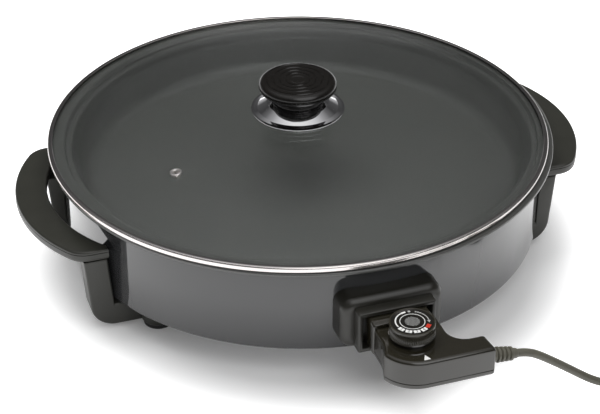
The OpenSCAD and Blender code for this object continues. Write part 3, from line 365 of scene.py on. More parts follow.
def make_materials():
    """Every finish: the record's slots, and shades of them for the detailed pieces."""
    return {
        "nonstick": nonstick_coating(),
        "grey_enamel": finish("grey_enamel", (0.050, 0.051, 0.053), 0.07, coat=0.6, coat_roughness=0.03,
                              mottle=0.03, mottle_scale=12, rough_spread=0.02, grain=0.02,
                              grain_scale=160),
        "base_sheet": finish("base_sheet", (0.5, 0.5, 0.51), 0.35, metallic=1, mottle=0.04,
                             grain=0.1, grain_scale=900, stretch=(1, 20, 1)),
        "zinc": finish("zinc", (0.62, 0.62, 0.64), 0.28, metallic=1, mottle=0.05, grain=0.05),
        "element": finish("element", (0.16, 0.15, 0.14), 0.5, metallic=1, mottle=0.2, grain=0.1),
        "ceramic": finish("ceramic", (0.78, 0.75, 0.68), 0.6, mottle=0.04, grain=0.15),
        "nickel": finish("nickel", (0.75, 0.73, 0.69), 0.16, metallic=1, mottle=0.03, grain=0.03),
        "copper": finish("copper", (0.72, 0.42, 0.22), 0.3, metallic=1, mottle=0.08, grain=0.05),
        "bakelite": finish("bakelite", (0.028, 0.028, 0.0225), 0.36, ior=1.52, mottle=0.08,
                           mottle_scale=60, grain=0.09, grain_scale=1600),
        "shroud_black": finish("shroud_black", (0.022, 0.021, 0.0168), 0.30, mottle=0.08,
                               rough_spread=0.04, grain=0.03, grain_scale=900),
        "foot_rubber": finish("foot_rubber", (0.018, 0.018, 0.018), 0.62, mottle=0.1, grain=0.25),
        "clear_glass": clear_glass(),
        "rim_steel": finish("rim_steel", (0.70, 0.665, 0.65), 0.19, metallic=1, mottle=0.02,
                            rough_spread=0.04, grain=0.04, grain_scale=700),
        "chrome": finish("chrome", (0.86, 0.86, 0.87), 0.06, metallic=1, mottle=0.01,
                         rough_spread=0.02),
        "gloss_black": finish("gloss_black", (0.0135, 0.0125, 0.0100), 0.10, rough_spread=0.03,
                              grain=0.03, grain_scale=600),
        "control_black": finish("control_black", (0.021, 0.0187, 0.0125), 0.12, ior=1.66,
                                rough_spread=0.03, grain=0.03, grain_scale=600),
        "dial_black": finish("dial_black", (0.032, 0.029, 0.020), 0.26, ior=1.6,
                             rough_spread=0.03, grain=0.03, grain_scale=600),
        "knob_black": finish("knob_black", (0.0085, 0.0075, 0.0065), 0.20, mottle=0.1,
                             grain=0.10, grain_scale=1400),
        "white_paint": finish("white_paint", (0.82, 0.82, 0.80), 0.4, mottle=0.03, grain=0.05),
        "grey_paint": finish("grey_paint", (0.42, 0.42, 0.41), 0.4, mottle=0.05, grain=0.05),
        "red_paint": finish("red_paint", (0.55, 0.04, 0.02), 0.4, mottle=0.05, grain=0.05),
        "eyelet_steel": finish("eyelet_steel", (0.86, 0.82, 0.80), 0.42, metallic=1, mottle=0.02,
                               rough_spread=0.04, grain=0.02),
        "lead_grey": finish("lead_grey", (0.115, 0.110, 0.085), 0.45, mottle_scale=80, grain=0.2,
                            grain_scale=2500, sheen=0.05),
        "tie_black": finish("tie_black", (0.02, 0.02, 0.02), 0.4, mottle=0.1, grain=0.1),
        "plug_black": finish("plug_black", (0.03, 0.029, 0.026), 0.4, mottle=0.08, grain=0.2,
                             grain_scale=1600),
    }


def dress_cad_nodes(materials):
    """Gives every CAD node that still shows the finish of its slot in the record."""
    for row in frame["record"]["subparts"]:
        data = NODES[row["node"]].data
        data.materials.clear()
        data.materials.append(materials[row["material_slot"]])


# ---------------------------------------------------------------- lead

CORD_D = 6.3 * MM
LEAD_ROUTE = [(74, -274, 50), (80, -274, 49.1), (87, -274.2, 46.9), (94, -274.5, 43),
              (102, -274.6, 37.4), (111, -274.8, 30.9), (119.5, -275, 24.5), (128, -275.5, 18.2),
              (136, -276.2, 12.6), (144, -277, 8.2), (152, -278, 5.2), (160, -279, 3.8),
              (168, -278.4, 3.75), (178, -274.3, 3.75), (187, -266.6, 3.75), (193, -256.8, 3.75),
              (196, -247, 3.75), (196.5, -242, 3.75)]
TAIL_ROUTE = [(279, -256, 10.05), (277, -262.5, 9), (274.5, -269.5, 7.6), (271, -277, 6.4),
              (266, -285, 5.8), (259.5, -292.5, 6.2), (251.5, -299.5, 8), (243, -305, 11.2),
              (235.5, -308.6, 14.8), (228, -310, 17.8), (221, -310, 18.8)]
COIL_CENTRE = (240, -242)
COIL_RADII = (43.55, 37.2, 30.9, 24.55)
COIL_LAYERS = (3.75, 10.05)
TURN_STEPS = 28
RISE_TURNS = 0.45


def coil_route():
    """The coiled stretch: in through the lower layer, up, and out through the upper one."""
    cx, cy = COIL_CENTRE
    points = []
    turns = len(COIL_RADII)
    end_turn = math.degrees(math.atan2(TAIL_ROUTE[0][1] - cy, TAIL_ROUTE[0][0] - cx))

    def radius_at(turn):
        low = min(int(turn), turns - 2)
        return COIL_RADII[low] + (COIL_RADII[low + 1] - COIL_RADII[low]) * (turn - low)

    lower = turns - 0.5
    for k in range(1, int(lower * TURN_STEPS) + 1):
        turn = k / TURN_STEPS
        angle = math.radians(180 - 360 * turn)
        r = radius_at(min(turn, turns - 1))
        points.append((cx + r * math.cos(angle), cy + r * math.sin(angle), COIL_LAYERS[0]))
    start = 180 - 360 * lower
    sweep = 360 * (turns - 1) + (start - end_turn) % 360
    steps = int(sweep / 360 * TURN_STEPS)
    for k in range(1, steps):
        angle = math.radians(start - sweep * k / steps)
        back = (turns - 1) * (1 - k / steps)
        rise = min(1.0, k / (TURN_STEPS * RISE_TURNS))
        z = COIL_LAYERS[0] + (COIL_LAYERS[1] - COIL_LAYERS[0]) * (3 * rise ** 2 - 2 * rise ** 3)
        r = radius_at(back)
        points.append((cx + r * math.cos(angle), cy + r * math.sin(angle), z))
    return points


def smooth_curve(name, points_mm, r, **how):
    """A round cord, r metres in radius, along points in millimetres."""
    curve = bpy.data.curves.new(name, "CURVE")
    curve.dimensions = "3D"
    curve.bevel_depth = r
    curve.bevel_resolution = 6
    curve.use_fill_caps = True
    spline = curve.splines.new("POLY")
    spline.points.add(len(points_mm) - 1)
    for point, place in zip(spline.points, points_mm):
        point.co = (place[0] * MM, place[1] * MM, place[2] * MM, 1)
    spline.use_smooth = True
    return add_object(name, curve, **how)


def refine(points, per_step=3):
    """A Catmull-Rom line through the points."""
    out = []
    last = len(points) - 1
    for i in range(last):
        p0, p1 = points[max(i - 1, 0)], points[i]
        p2, p3 = points[i + 1], points[min(i + 2, last)]
        for k in range(per_step):
            t = k / per_step
            out.append(tuple(0.5 * (2 * b + (c - a) * t + (2 * a - 5 * b + 4 * c - d) * t * t
                                    + (3 * b - a - 3 * c + d) * t ** 3)
                             for a, b, c, d in zip(p0, p1, p2, p3)))
    return out + [points[-1]]


def mains_lead(materials):
    """The lead: it leaves the strain relief, lies down, is coiled, and ends in the plug."""
    route = refine(LEAD_ROUTE) + refine(coil_route(), 2) + refine(TAIL_ROUTE)[1:]
    lead = smooth_curve("mains_lead", route, CORD_D / 2, body="thermostat",
                        material=materials["lead_grey"], slot="lead_grey",
                        replaces=("cord_lead", "cord_coil", "cord_tail"))


# ---------------------------------------------------------------- pan, jacket and lid

def pan_piece(materials):
    """The cast pan, with its fillet, its ledge and the turned lip that hides the jacket's edge."""
    floor_z = 64 * MM
    cook_r, fillet, thick = 170 * MM, 12 * MM, 4 * MM
    mouth_r, ledge_z = 189 * MM, RIM_Z - 4 * MM
    inside = [(0, floor_z), (0.08, floor_z)] + arc(cook_r, floor_z + fillet, fillet, -90, -18, 14)
    inside += arc(mouth_r + 1.6 * MM, ledge_z - 1.6 * MM, 1.6 * MM, 162, 90, 6)
    inside += filleted([(mouth_r + 5 * MM, ledge_z), (mouth_r + 6 * MM, RIM_Z - 0.2 * MM),
                        (mouth_r + 8 * MM, RIM_Z)], 0.6 * MM, closed=False)
    lip = arc(LIP_R - 1.3 * MM, RIM_Z - 1.3 * MM, 1.3 * MM, 90, 0, 6)
    lip += arc(LIP_R - 0.9 * MM, LIP_UNDER_Z + 0.9 * MM, 0.9 * MM, 0, -90, 4)
    outside = [(BODY_R - 1.5 * MM, LIP_UNDER_Z), (BODY_R - 1.5 * MM, ledge_z - thick),
               (mouth_r + thick, ledge_z - thick)]
    outside += arc(cook_r, floor_z + fillet, fillet + thick, -18, -90, 10) + [(0, floor_z - thick)]
    lathe("pan_casting", inside + lip + outside, body="pan_base", material=materials["nonstick"],
          slot="nonstick", replaces=("pan",))


def jacket_piece(materials):
    """The enamelled jacket, turned in at its foot."""
    sheet, bend, turn_in = 1 * MM, 3 * MM, 12 * MM
    inner = BODY_R - sheet
    profile = [(BODY_R, LIP_UNDER_Z), (inner, LIP_UNDER_Z)]
    profile += arc(BODY_R - bend, BASE_Z + bend, bend - sheet, 0, -90, 6)
    profile += [(BODY_R - turn_in, BASE_Z + sheet), (BODY_R - turn_in, BASE_Z)]
    profile += arc(BODY_R - bend, BASE_Z + bend, bend, -90, 0, 8)
    lathe("jacket_sheet", profile, body="pan_base", material=materials["grey_enamel"],
          slot="grey_enamel", replaces=("jacket",))


GLASS_T, GLASS_FLAT = 4 * MM, 10 * MM
GLASS_R = LID_R - 0.5 * MM
DOME_R = GLASS_R - GLASS_FLAT
DOME_RISE = APEX_Z - GLASS_Z - GLASS_T
BALL_R = (DOME_R ** 2 + DOME_RISE ** 2) / (2 * DOME_RISE)
BALL_Z = APEX_Z - BALL_R


def lid_pieces(materials):
    """The glass, a cap of a ball with a flat flange, and the steel band round it."""
    centre = (LID_X, 0)
    z0, z1 = LID_RIM_Z
    flange_z, edge_r = GLASS_Z + GLASS_T, GLASS_R - 0.05 * MM

    def cap(radius, r):
        return BALL_Z + math.sqrt(radius ** 2 - r ** 2)

    radii = [DOME_R * k / 40 for k in range(41)]
    foot_r = DOME_R - 2.0 * MM
    top = [(r, cap(BALL_R, r)) for r in radii[:-2]]
    top += [(foot_r, cap(BALL_R, foot_r) - 0.05 * MM), (DOME_R + 1.5 * MM, flange_z)]
    under = [(r, cap(BALL_R - GLASS_T, r)) for r in radii if r < DOME_R - 6 * MM]
    under += [(DOME_R - 1.0 * MM, GLASS_Z)]
    outline = top + [(edge_r, flange_z), (edge_r, GLASS_Z)] + under[::-1]
    lathe("lid_glass_dome", outline, centre=centre, body="lid", material=materials["clear_glass"],
          slot="clear_glass", replaces=("lid_glass",), sharp_deg=40)

    # The steel band, folded over the glass: a lip above, a bead and a lip below
    band = 4 * MM
    inner, sheet = LID_R - band, 0.5 * MM
    outside = arc(LID_R - 1.5 * MM, z0 + 1.5 * MM, 1.5 * MM, -90, 0, 6)
    outside += arc(LID_R - 1.8 * MM, z1 - 1.8 * MM, 1.8 * MM, 0, 90, 8)
    rim = [(inner, z0)] + outside + [(inner + 0.4 * MM, z1), (inner, z1 - 0.3 * MM),
                                     (inner, z1 - sheet), (LID_R - sheet, z1 - sheet),
                                     (LID_R - sheet, z0 + sheet), (inner, z0 + sheet)]
    lathe("lid_rim_band", rim, centre=centre, segments=300, body="lid",
          material=materials["rim_steel"], slot="rim_steel", replaces=("lid_rim",))


def knob_pieces(materials):
    """The knob: a chromed cone, a stepped neck and a broad disc with rings sunk in its top."""
    centre = (LID_X, 0)
    cone_foot, cone_top = CONE_Z
    neck_r = 20.6 * MM
    cone = ([(3.5 * MM, cone_top), (neck_r + 0.4 * MM, cone_top)]
            + filleted([(neck_r + 0.4 * MM, cone_top), (neck_r + 5 * MM, cone_top - 1.4 * MM),
                        (CONE_R - 5.2 * MM, cone_foot + 2.6 * MM),
                        (CONE_R - 2.2 * MM, cone_foot + 1.6 * MM),
                        (CONE_R - 0.2 * MM, cone_foot + 1.5 * MM)], 2.4 * MM, 5, closed=False)[1:]
            + [(CONE_R, cone_foot + 1.1 * MM), (CONE_R, cone_foot), (CONE_R - 2.2 * MM, cone_foot),
               (CONE_R - 5.2 * MM, cone_foot + 1.4 * MM), (neck_r + 4.6 * MM, cone_top - 2.6 * MM),
               (neck_r, cone_top - 1 * MM), (3.5 * MM, cone_top - 1 * MM)])
    lathe("knob_cone_pressing", cone, centre=centre, segments=160, body="lid",
          material=materials["chrome"], slot="chrome", replaces=("knob_cone",))

    disc_z = cone_top + 8.5 * MM
    steps, step = 4, 1.05 * MM
    pitch = (disc_z - cone_top) / steps
    neck = []
    for i in range(steps):
        r, z = neck_r + i * step, cone_top + i * pitch
        neck += filleted([(r - 0.9 * MM, z), (r, z + 0.3 * MM), (r, z + pitch - 0.6 * MM),
                          (r - 0.7 * MM, z + pitch - 0.1 * MM)], 0.25 * MM, 3, closed=False)
    half = (KNOB_TOP_Z - disc_z) / 2
    rim = arc(KNOB_R - half, disc_z + half, half, -90, 82, 16)
    top = []
    for r_mid in (26.2, 20.6, 15.4, 10.4):
        r = r_mid * MM
        top += filleted([(r + 1.1 * MM, KNOB_TOP_Z - 0.02 * MM), (r + 0.7 * MM, KNOB_TOP_Z - 0.75 * MM),
                         (r - 0.7 * MM, KNOB_TOP_Z - 0.75 * MM), (r - 1.1 * MM, KNOB_TOP_Z - 0.02 * MM)],
                        0.35 * MM, 3, closed=False)
    dish = [(6.5 * MM, KNOB_TOP_Z - 0.02 * MM), (5.6 * MM, KNOB_TOP_Z - 0.5 * MM), (0, KNOB_TOP_Z - 0.8 * MM)]
    lathe("knob_moulding", [(0, cone_top)] + neck + rim + top + dish, centre=centre, segments=160,
          body="lid", material=materials["knob_black"], slot="gloss_black", replaces=("knob_grip",),
          sharp_deg=50)


# ---------------------------------------------------------------- handles and legs

GRIP_ARM = 53.5 * MM


def grip_outline(inset):
    """The right-hand grip, seen from above, drawn in by inset all round."""
    curve, curve_in, corner = 132 * MM, 122 * MM, 20 * MM
    inner_x, end_x = GRIP_REACH - 26 * MM, GRIP_REACH - GRIP_ARM
    cx_out, cx_in = GRIP_REACH - curve, inner_x - curve_in
    r_out, r_in, half = curve - inset, curve_in + inset, GRIP_HALF - inset
    corner = corner - inset
    corner_y = half - corner
    corner_dx = math.sqrt((r_out - corner) ** 2 - corner_y ** 2)
    end_out = math.degrees(math.atan2(corner_y, corner_dx))
    end_in = math.degrees(math.acos((end_x + inset - cx_in) / r_in))
    bite = 0.6 * MM
    return ([(end_x - bite + inset, -half)]
            + arc(cx_out + corner_dx, -corner_y, corner, -90, -end_out, 8)
            + arc(cx_out, 0, r_out, -end_out * 0.95, end_out * 0.95, 44)
            + arc(cx_out + corner_dx, corner_y, corner, end_out, 90, 8)
            + [(end_x - bite + inset, half)]
            + arc(cx_in, 0, r_in, end_in, -end_in, 36))


def grip_pieces(materials):
    """Each grip is a flat loop with a soft lower edge and a fine parting step below its top."""
    z0, z1 = GRIP_Z
    height = z1 - z0
    low_r, top_r = 4.0 * MM, 1.9 * MM
    low = [(low_r - low_r * math.sin(t), low_r - low_r * math.cos(t)) for t in quarter(7)]
    step_z = height - 3.3 * MM
    high = [(0, step_z), (0.75 * MM, step_z + 0.1 * MM), (0.75 * MM, step_z + 0.5 * MM),
            (0.05 * MM, step_z + 0.6 * MM)]
    high += [(top_r * (1 - math.cos(t)), height - top_r + top_r * math.sin(t)) for t in quarter(6)]
    for side, name in ((1, "right"), (-1, "left")):
        rings = [[(side * x, side * y, z0 + z) for x, y in grip_outline(i)] for i, z in low + high]
        loft("grip_loop_" + name, rings, body="pan_base", material=materials["bakelite"],
             slot="bakelite", replaces=("grip_" + name,), sharp_deg=38)


LEG_TOP_Z = span("leg_left_front", 2)[1]
FOOT_H = span("leg_left_front", 2)[0]
LEG_FRONT = GRIP_HALF - 1.5 * MM
HEEL_R, LEG_LEAN = 20 * MM, 3.4 * MM
FOOT_X = sum(span("foot_right_front", 0)) / 2
FOOT_Y = sum(span("foot_right_back", 1)) / 2
FOOT_R = (span("foot_right_front", 0)[1] - span("foot_right_front", 0)[0]) / 2


def inset_outline(points, d):
    """The outline with each side moved in by d; it runs counter-clockwise."""
    out = []
    count = len(points)
    for i in range(count):
        before = Vector(points[i]) - Vector(points[i - 1])
        after = Vector(points[(i + 1) % count]) - Vector(points[i])
        a = Vector((-before.y, before.x)).normalized()
        b = Vector((-after.y, after.x)).normalized()
        middle = (a + b).normalized()
        out.append(tuple(Vector(points[i]) + middle * d / max(0.3, middle.dot(a))))
    return out


def leg_outline(far, y):
    """A leg cut square to the Y axis at y: a leaning column, and an arm that runs in under the pan."""
    cut_r = BODY_R + 0.6 * MM
    width, lean = (19 * MM, LEG_LEAN) if far else (11 * MM, 9 * MM)
    out = GRIP_REACH - GRIP_ARM + 19.5 * MM if far else BODY_R + 15.1 * MM
    height = LEG_TOP_Z - BASE_Z
    cut_z = LEG_TOP_Z - height * (out - width - cut_r) / lean if not far else LEG_TOP_Z - 0.4 * height

    def at(r):
        return r if far else math.sqrt(max(r * r - y * y, 0))

    def inner(z):
        lined = out - width - lean * (LEG_TOP_Z - z) / height
        return max(at(lined), math.sqrt(cut_r ** 2 - y * y))

    start = FOOT_X - 4 * MM
    low = out - LEG_LEAN
    heel = arc(low - HEEL_R, FOOT_H + HEEL_R, HEEL_R, -90, 0, 14)
    heel = [(at(r), z) for r, z in heel]
    return ([(start, FOOT_H), (start + 1 * MM, FOOT_H)] + heel
            + [(at(out), LEG_TOP_Z), (inner(LEG_TOP_Z), LEG_TOP_Z), (inner(cut_z), cut_z),
               (inner(BASE_Z), BASE_Z), (start, BASE_Z)])


def leg_pieces(materials):
    """Each leg is a moulded column and arm with softened edges, on a round boss with a rubber foot."""
    for side, end in ((-1, -1), (-1, 1), (1, -1), (1, 1)):
        name = ("left" if side < 0 else "right") + ("_front" if end < 0 else "_back")
        far = side * end > 0
        depth, edge = (21 if far else 33) * MM, 1.6 * MM
        rows = [(edge * (1 - math.sin(t)), edge * (1 - math.cos(t))) for t in quarter(5)[::-1]]
        levels = rows + [(depth - along, inset) for along, inset in rows[::-1]]
        rings = []
        for along, inset in levels:
            y = -LEG_FRONT + along
            rings.append([(side * x, -end * y, z) for x, z in inset_outline(leg_outline(far, y), inset)])
        look = {"body": "pan_base", "material": materials["bakelite"], "slot": "bakelite"}
        loft("leg_moulding_" + name, rings, replaces=("leg_" + name,), sharp_deg=35, **look)
        boss_r, soft = FOOT_R + 1.5 * MM, 1.2 * MM
        centre = (side * FOOT_X, end * FOOT_Y)
        boss = [(0, FOOT_H), (boss_r - soft, FOOT_H)] + arc(boss_r - soft, FOOT_H + soft, soft, -90, 0, 5)
        boss += [(boss_r, BASE_Z), (0, BASE_Z)]
        lathe("leg_boss_" + name, boss, centre=centre, segments=72, **look)
        foot = [(0, 0.8 * MM), (FOOT_R - 5 * MM, 0.8 * MM), (FOOT_R - 4.4 * MM, 0), (FOOT_R - 1.4 * MM, 0)]
        foot += arc(FOOT_R - soft, soft, soft, -80, 0, 5)
        foot += [(FOOT_R, FOOT_H - 0.3 * MM), (FOOT_R - 0.3 * MM, FOOT_H), (0, FOOT_H)]
        lathe("rubber_foot_" + name, foot, centre=centre, segments=72, body="pan_base",
              material=materials["foot_rubber"], slot="foot_rubber", replaces=("foot_" + name,))


# ---------------------------------------------------------------- socket

def shroud_piece(materials):
    """The deep rounded block round the socket's mouth; its back is hidden in the jacket."""
    w, h = 2 * SHROUD_X, SHROUD_Z[1] - SHROUD_Z[0]
    mid_z = sum(SHROUD_Z) / 2
    edge = 7 * MM
    depths = [(BODY_R - 9 * MM, 0), (SHROUD_Y - edge, 0)]
    depths += [(SHROUD_Y - edge + edge * math.sin(t), edge * (1 - math.cos(t))) for t in quarter(10, 1)]
    rings = []
    for y, inset in depths:
        outline = round_box(w - 2 * inset, h - 2 * inset, 11 * MM - inset * 0.5, 10)
        rings.append([(x, -y, mid_z + z) for x, z in outline])
    loft("shroud_moulding", rings, body="pan_base", material=materials["shroud_black"],
         slot="bakelite", replaces=("socket_shroud",), sharp_deg=60)


def mouth_frame_piece(materials):
    """The hollow frame that stands out of the shroud, in two steps."""
    w, h = 2 * FRAME_X, FRAME_Z[1] - FRAME_Z[0]
    mid_z = sum(FRAME_Z) / 2
    wall, soft = 3.5 * MM, 0.9 * MM
    rows = [(FRAME_BACK_Y, 0, 1.5 * MM), (FRAME_Y - soft, 0, 1.5 * MM),
            (FRAME_Y - 0.3 * soft, 0.3 * soft, 1.3 * MM), (FRAME_Y, soft, 1.0 * MM),
            (FRAME_Y, wall - 0.5 * MM, 0.8 * MM), (FRAME_Y - 0.5 * MM, wall, 0.6 * MM),
            (FRAME_BACK_Y, wall, 0.6 * MM)]
    rings = [[(x, -y, mid_z + z) for x, z in round_box(w - 2 * i, h - 2 * i, r, 5)] for y, i, r in rows]
    tube("mouth_frame", rings, body="pan_base", material=materials["shroud_black"],
         slot="bakelite", replaces=("socket_frame",), sharp_deg=50)


# ---------------------------------------------------------------- thermostat

CONTROL_HALF = 26.75 * MM
CONTROL_BACK_Y = 226 * MM
NOSE_HALF = 23.5 * MM
ARM_X, ARM_W, ARM_SLOPE, ARM_CORNER = 53.25 * MM, 19 * MM, 0.09, 14 * MM
FRONT_CORNER, CORNER_TURN_DEG = 30 * MM, 20.5
FLARE, FLARE_L = 4 * MM, 18.5 * MM
LEAD_Z, RELIEF_DROOP_DEG = 53.5 * MM, 8


def control_outline(inset):
    """The thermostat seen from above, drawn in by inset: its left side flares out to a corner, its
    front is a wide curve, and a cable arm stands out to the right."""
    half, y = CONTROL_HALF, -FRONT_Y
    turn = math.radians(CORNER_TURN_DEG)
    side_x, flare_y = half - FLARE, y + FRONT_CORNER * (1 - math.sin(turn)) + FLARE_L
    soft = 1.6 * MM

    def arm_end(along):
        return ARM_X - inset - ARM_SLOPE * along

    def side(k):
        return (-side_x + inset - FLARE * (1 - math.cos(math.pi / 2 * k / 12)), flare_y - FLARE_L * k / 12)

    arm_front = [(arm_end(inset) - soft, y + inset), (arm_end(inset) - 0.35 * soft, y + inset + 0.3 * soft),
                 (arm_end(inset), y + inset + soft)]
    arm_back = ARM_W - inset
    arm_rear = [(arm_end(arm_back - soft), y + arm_back - soft),
                (arm_end(arm_back) - 0.3 * soft, y + arm_back - 0.35 * soft),
                (arm_end(arm_back) - soft, y + arm_back)]
    front = arc(FRONT_CORNER * math.cos(turn) - half, y + FRONT_CORNER, FRONT_CORNER - inset,
                180 + CORNER_TURN_DEG, 270, 26)
    return ([(-side_x + inset, -CONTROL_BACK_Y - inset)] + [side(k) for k in range(12)] + front
            + arm_front + arm_rear
            + arc(half + ARM_CORNER, y + ARM_W + ARM_CORNER, ARM_CORNER + inset, 270, 180, 16)
            + [(half - inset, -CONTROL_BACK_Y - inset)])


def shell(name, levels, **how):
    """A solid with the thermostat's outline, from (inset, height) levels."""
    loft(name, [[(x, y, z) for x, y in control_outline(inset)] for inset, z in held(levels)], **how)


def thermostat_pieces(materials):
    """The two shells, which meet in a fine parting line, and the nose that goes into the socket."""
    look = {"body": "thermostat", "material": materials["control_black"], "slot": "gloss_black"}
    part_gap = 0.25 * MM
    edge = 3.0 * MM
    wall_top = CONTROL_TOP_Z - edge
    upper = [(0.9 * MM, SPLIT_Z), (0.35 * MM, SPLIT_Z), (0, SPLIT_Z + part_gap), (0, wall_top)]
    upper += [(0.95 * edge * (1 - math.cos(t)), wall_top + edge * math.sin(t)) for t in quarter(9, 1)]
    upper += [(5 * MM, CONTROL_TOP_Z)]
    shell("thermostat_upper", upper, sharp_deg=45, replaces=("control_top",), **look)
    lower = [(3 * MM, CONTROL_Z), (1.5 * MM, CONTROL_Z), (0.75 * MM, CONTROL_Z + 0.3 * MM),
             (0.3 * MM, CONTROL_Z + 1.0 * MM), (0.1 * MM, CONTROL_Z + 2.0 * MM),
             (0.1 * MM, SPLIT_Z - part_gap - 0.4 * MM), (0.4 * MM, SPLIT_Z - part_gap),
             (0.9 * MM, SPLIT_Z - part_gap)]
    shell("thermostat_lower", lower, sharp_deg=45, replaces=("control_base",), **look)

    # The nose: an open-fronted sleeve whose raised top ends in a step above the body
    wall, soft = 2 * MM, 0.8 * MM
    end_y = 234 * MM
    mid_z = (CONTROL_Z + 0.2 * MM + NOSE_TOP_Z) / 2
    w, h = 2 * NOSE_HALF, NOSE_TOP_Z - CONTROL_Z - 0.2 * MM
    web, bore_y = wall + 6 * MM, NOSE_Y + 14 * MM
    rows = [(end_y, web), (end_y, soft * 1.6), (end_y - 0.3 * soft, 0.5 * soft), (end_y - 1.4 * soft, 0),
            (NOSE_Y + soft, 0), (NOSE_Y + 0.3 * soft, 0.3 * soft), (NOSE_Y, soft),
            (NOSE_Y, wall - 0.2 * MM), (NOSE_Y + 0.3 * MM, wall), (bore_y, wall), (bore_y, web)]
    rings = [[(x, -y, mid_z + z) for x, z in round_box(w - 2 * i, h - 2 * i, 2.2 * MM, 6)]
             for y, i in rows]
    loft("thermostat_nose", rings, sharp_deg=50, **look)


def strain_relief_piece(materials):
    """The sleeve round the lead: it tapers, and deep rings make its outer half flexible."""
    start = Vector((ARM_X - 1 * MM, -(FRONT_Y - ARM_W / 2), LEAD_Z))
    tilt = math.radians(RELIEF_DROOP_DEG)
    along = Vector((math.cos(tilt), 0, -math.sin(tilt)))
    side, up = Vector((0, 1, 0)), Vector((math.sin(tilt), 0, math.cos(tilt)))
    rows = [(-3, 5.2), (0, 5.2), (4.5, 5.0)]
    pitch, ribs, first = 3.5, 4, 5.6
    for k in range(ribs):
        x, big = first + k * pitch, 6.0 - 0.22 * k
        small = 4.35 - 0.1 * k
        rows += [(x - 0.7, small), (x - 0.35, big - 0.5), (x, big), (x + 1.5, big), (x + 1.85, big - 0.5),
                 (x + 2.2, small)]
    rows += [(20.2, 4.0), (21.6, 3.8), (22.0, 3.45)]
    rings = [hoop(start + along * (x * MM), side, up, r * MM, 40) for x, r in rows]
    loft("strain_relief_sleeve", rings, body="thermostat", material=materials["lead_grey"],
         slot="lead_grey", replaces=("strain_relief",), sharp_deg=50)


# ---------------------------------------------------------------- dial

DIAL_RIBS, RIB_DEPTH_MM = 60, 0.8


def dial_knob_piece(materials):
    """The dial: a smooth cap over a ribbed skirt with a plain foot, from (height, growth, ribbing) rows."""
    steps = DIAL_RIBS * 8
    height = DIAL_TOP_Z - DIAL_Z
    top = height / MM
    rows = [(0, -1.5, 0), (1.2, -1.5, 0), (1.25, -0.3, 0), (1.5, 0, 0), (1.9, 0, 0), (2.1, -0.3, 0.3),
            (2.3, -0.35, 1), (7.2, -0.35, 1), (7.6, -0.2, 0.3), (7.9, 0, 0),
            (top - 0.7, 0, 0), (top - 0.3, -0.1, 0), (top - 0.08, -0.35, 0), (top, -0.6, 0), (top, -1.0, 0),
            (top - 0.15, -1.2, 0), (top - 0.6, -1.25, 0)]
    rings = []
    for z, grow, ribbed in rows:
        ring = []
        for i in range(steps):
            a = 2 * math.pi * i / steps
            wave = 0.5 + 0.5 * math.cos(DIAL_RIBS * a)
            r = DIAL_R + (grow - RIB_DEPTH_MM * ribbed * (1 - wave ** 0.6)) * MM
            ring.append((r * math.cos(a), -DIAL_Y + r * math.sin(a), DIAL_Z + z * MM))
        rings.append(ring)
    loft("dial_cap", rings, body="dial", material=materials["dial_black"], slot="gloss_black",
         replaces=("dial_knob",), sharp_deg=60)


FACE_Z = span("dial_face", 2)[1]
PRINT_T, PRINT_DEPTH = 0.05 * MM, 0.2 * MM


def flat_band(name, r_in, r_out, start_deg, end_deg, material, steps=None):
    """A printed arc on the dial's face."""
    steps = steps or max(6, int(abs(end_deg - start_deg) / 4))
    outer = arc(0, 0, r_out, start_deg, end_deg, steps)
    inner = arc(0, 0, r_in, end_deg, start_deg, steps)
    plate(name, outer + inner, material)


def plate(name, outline, material):
    """A printed patch that just stands out of the dial's face."""
    levels = (FACE_Z - PRINT_DEPTH, FACE_Z + PRINT_T)
    rings = [[(x, -DIAL_Y + y, z) for x, y in outline] for z in levels]
    loft(name, rings, body="dial", material=material, slot="white_paint")


def turned(points, deg, r=0.0):
    """Points moved out by r and turned round the dial's middle."""
    a = math.radians(deg)
    return [((x + r) * math.cos(a) - y * math.sin(a), (x + r) * math.sin(a) + y * math.cos(a))
            for x, y in points]


def rectangle(half_x, half_y):
    """A rectangle about the origin."""
    return [(-half_x, -half_y), (half_x, -half_y), (half_x, half_y), (-half_x, half_y)]


def numeral(name, text, deg, r, size, material):
    """A plain number, printed with its foot towards the rim."""
    curve = bpy.data.curves.new(name, "FONT")
    curve.body = text
    curve.size = size
    curve.extrude = 0.1 * MM
    curve.align_x, curve.align_y = "CENTER", "CENTER"
    label = add_object(name, curve, material=material)
    a = math.radians(deg)
    label.location = (r * math.cos(a), -DIAL_Y + r * math.sin(a), FACE_Z)
    label.rotation_euler = (0, 0, a + math.pi / 2)
    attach(label, "dial")


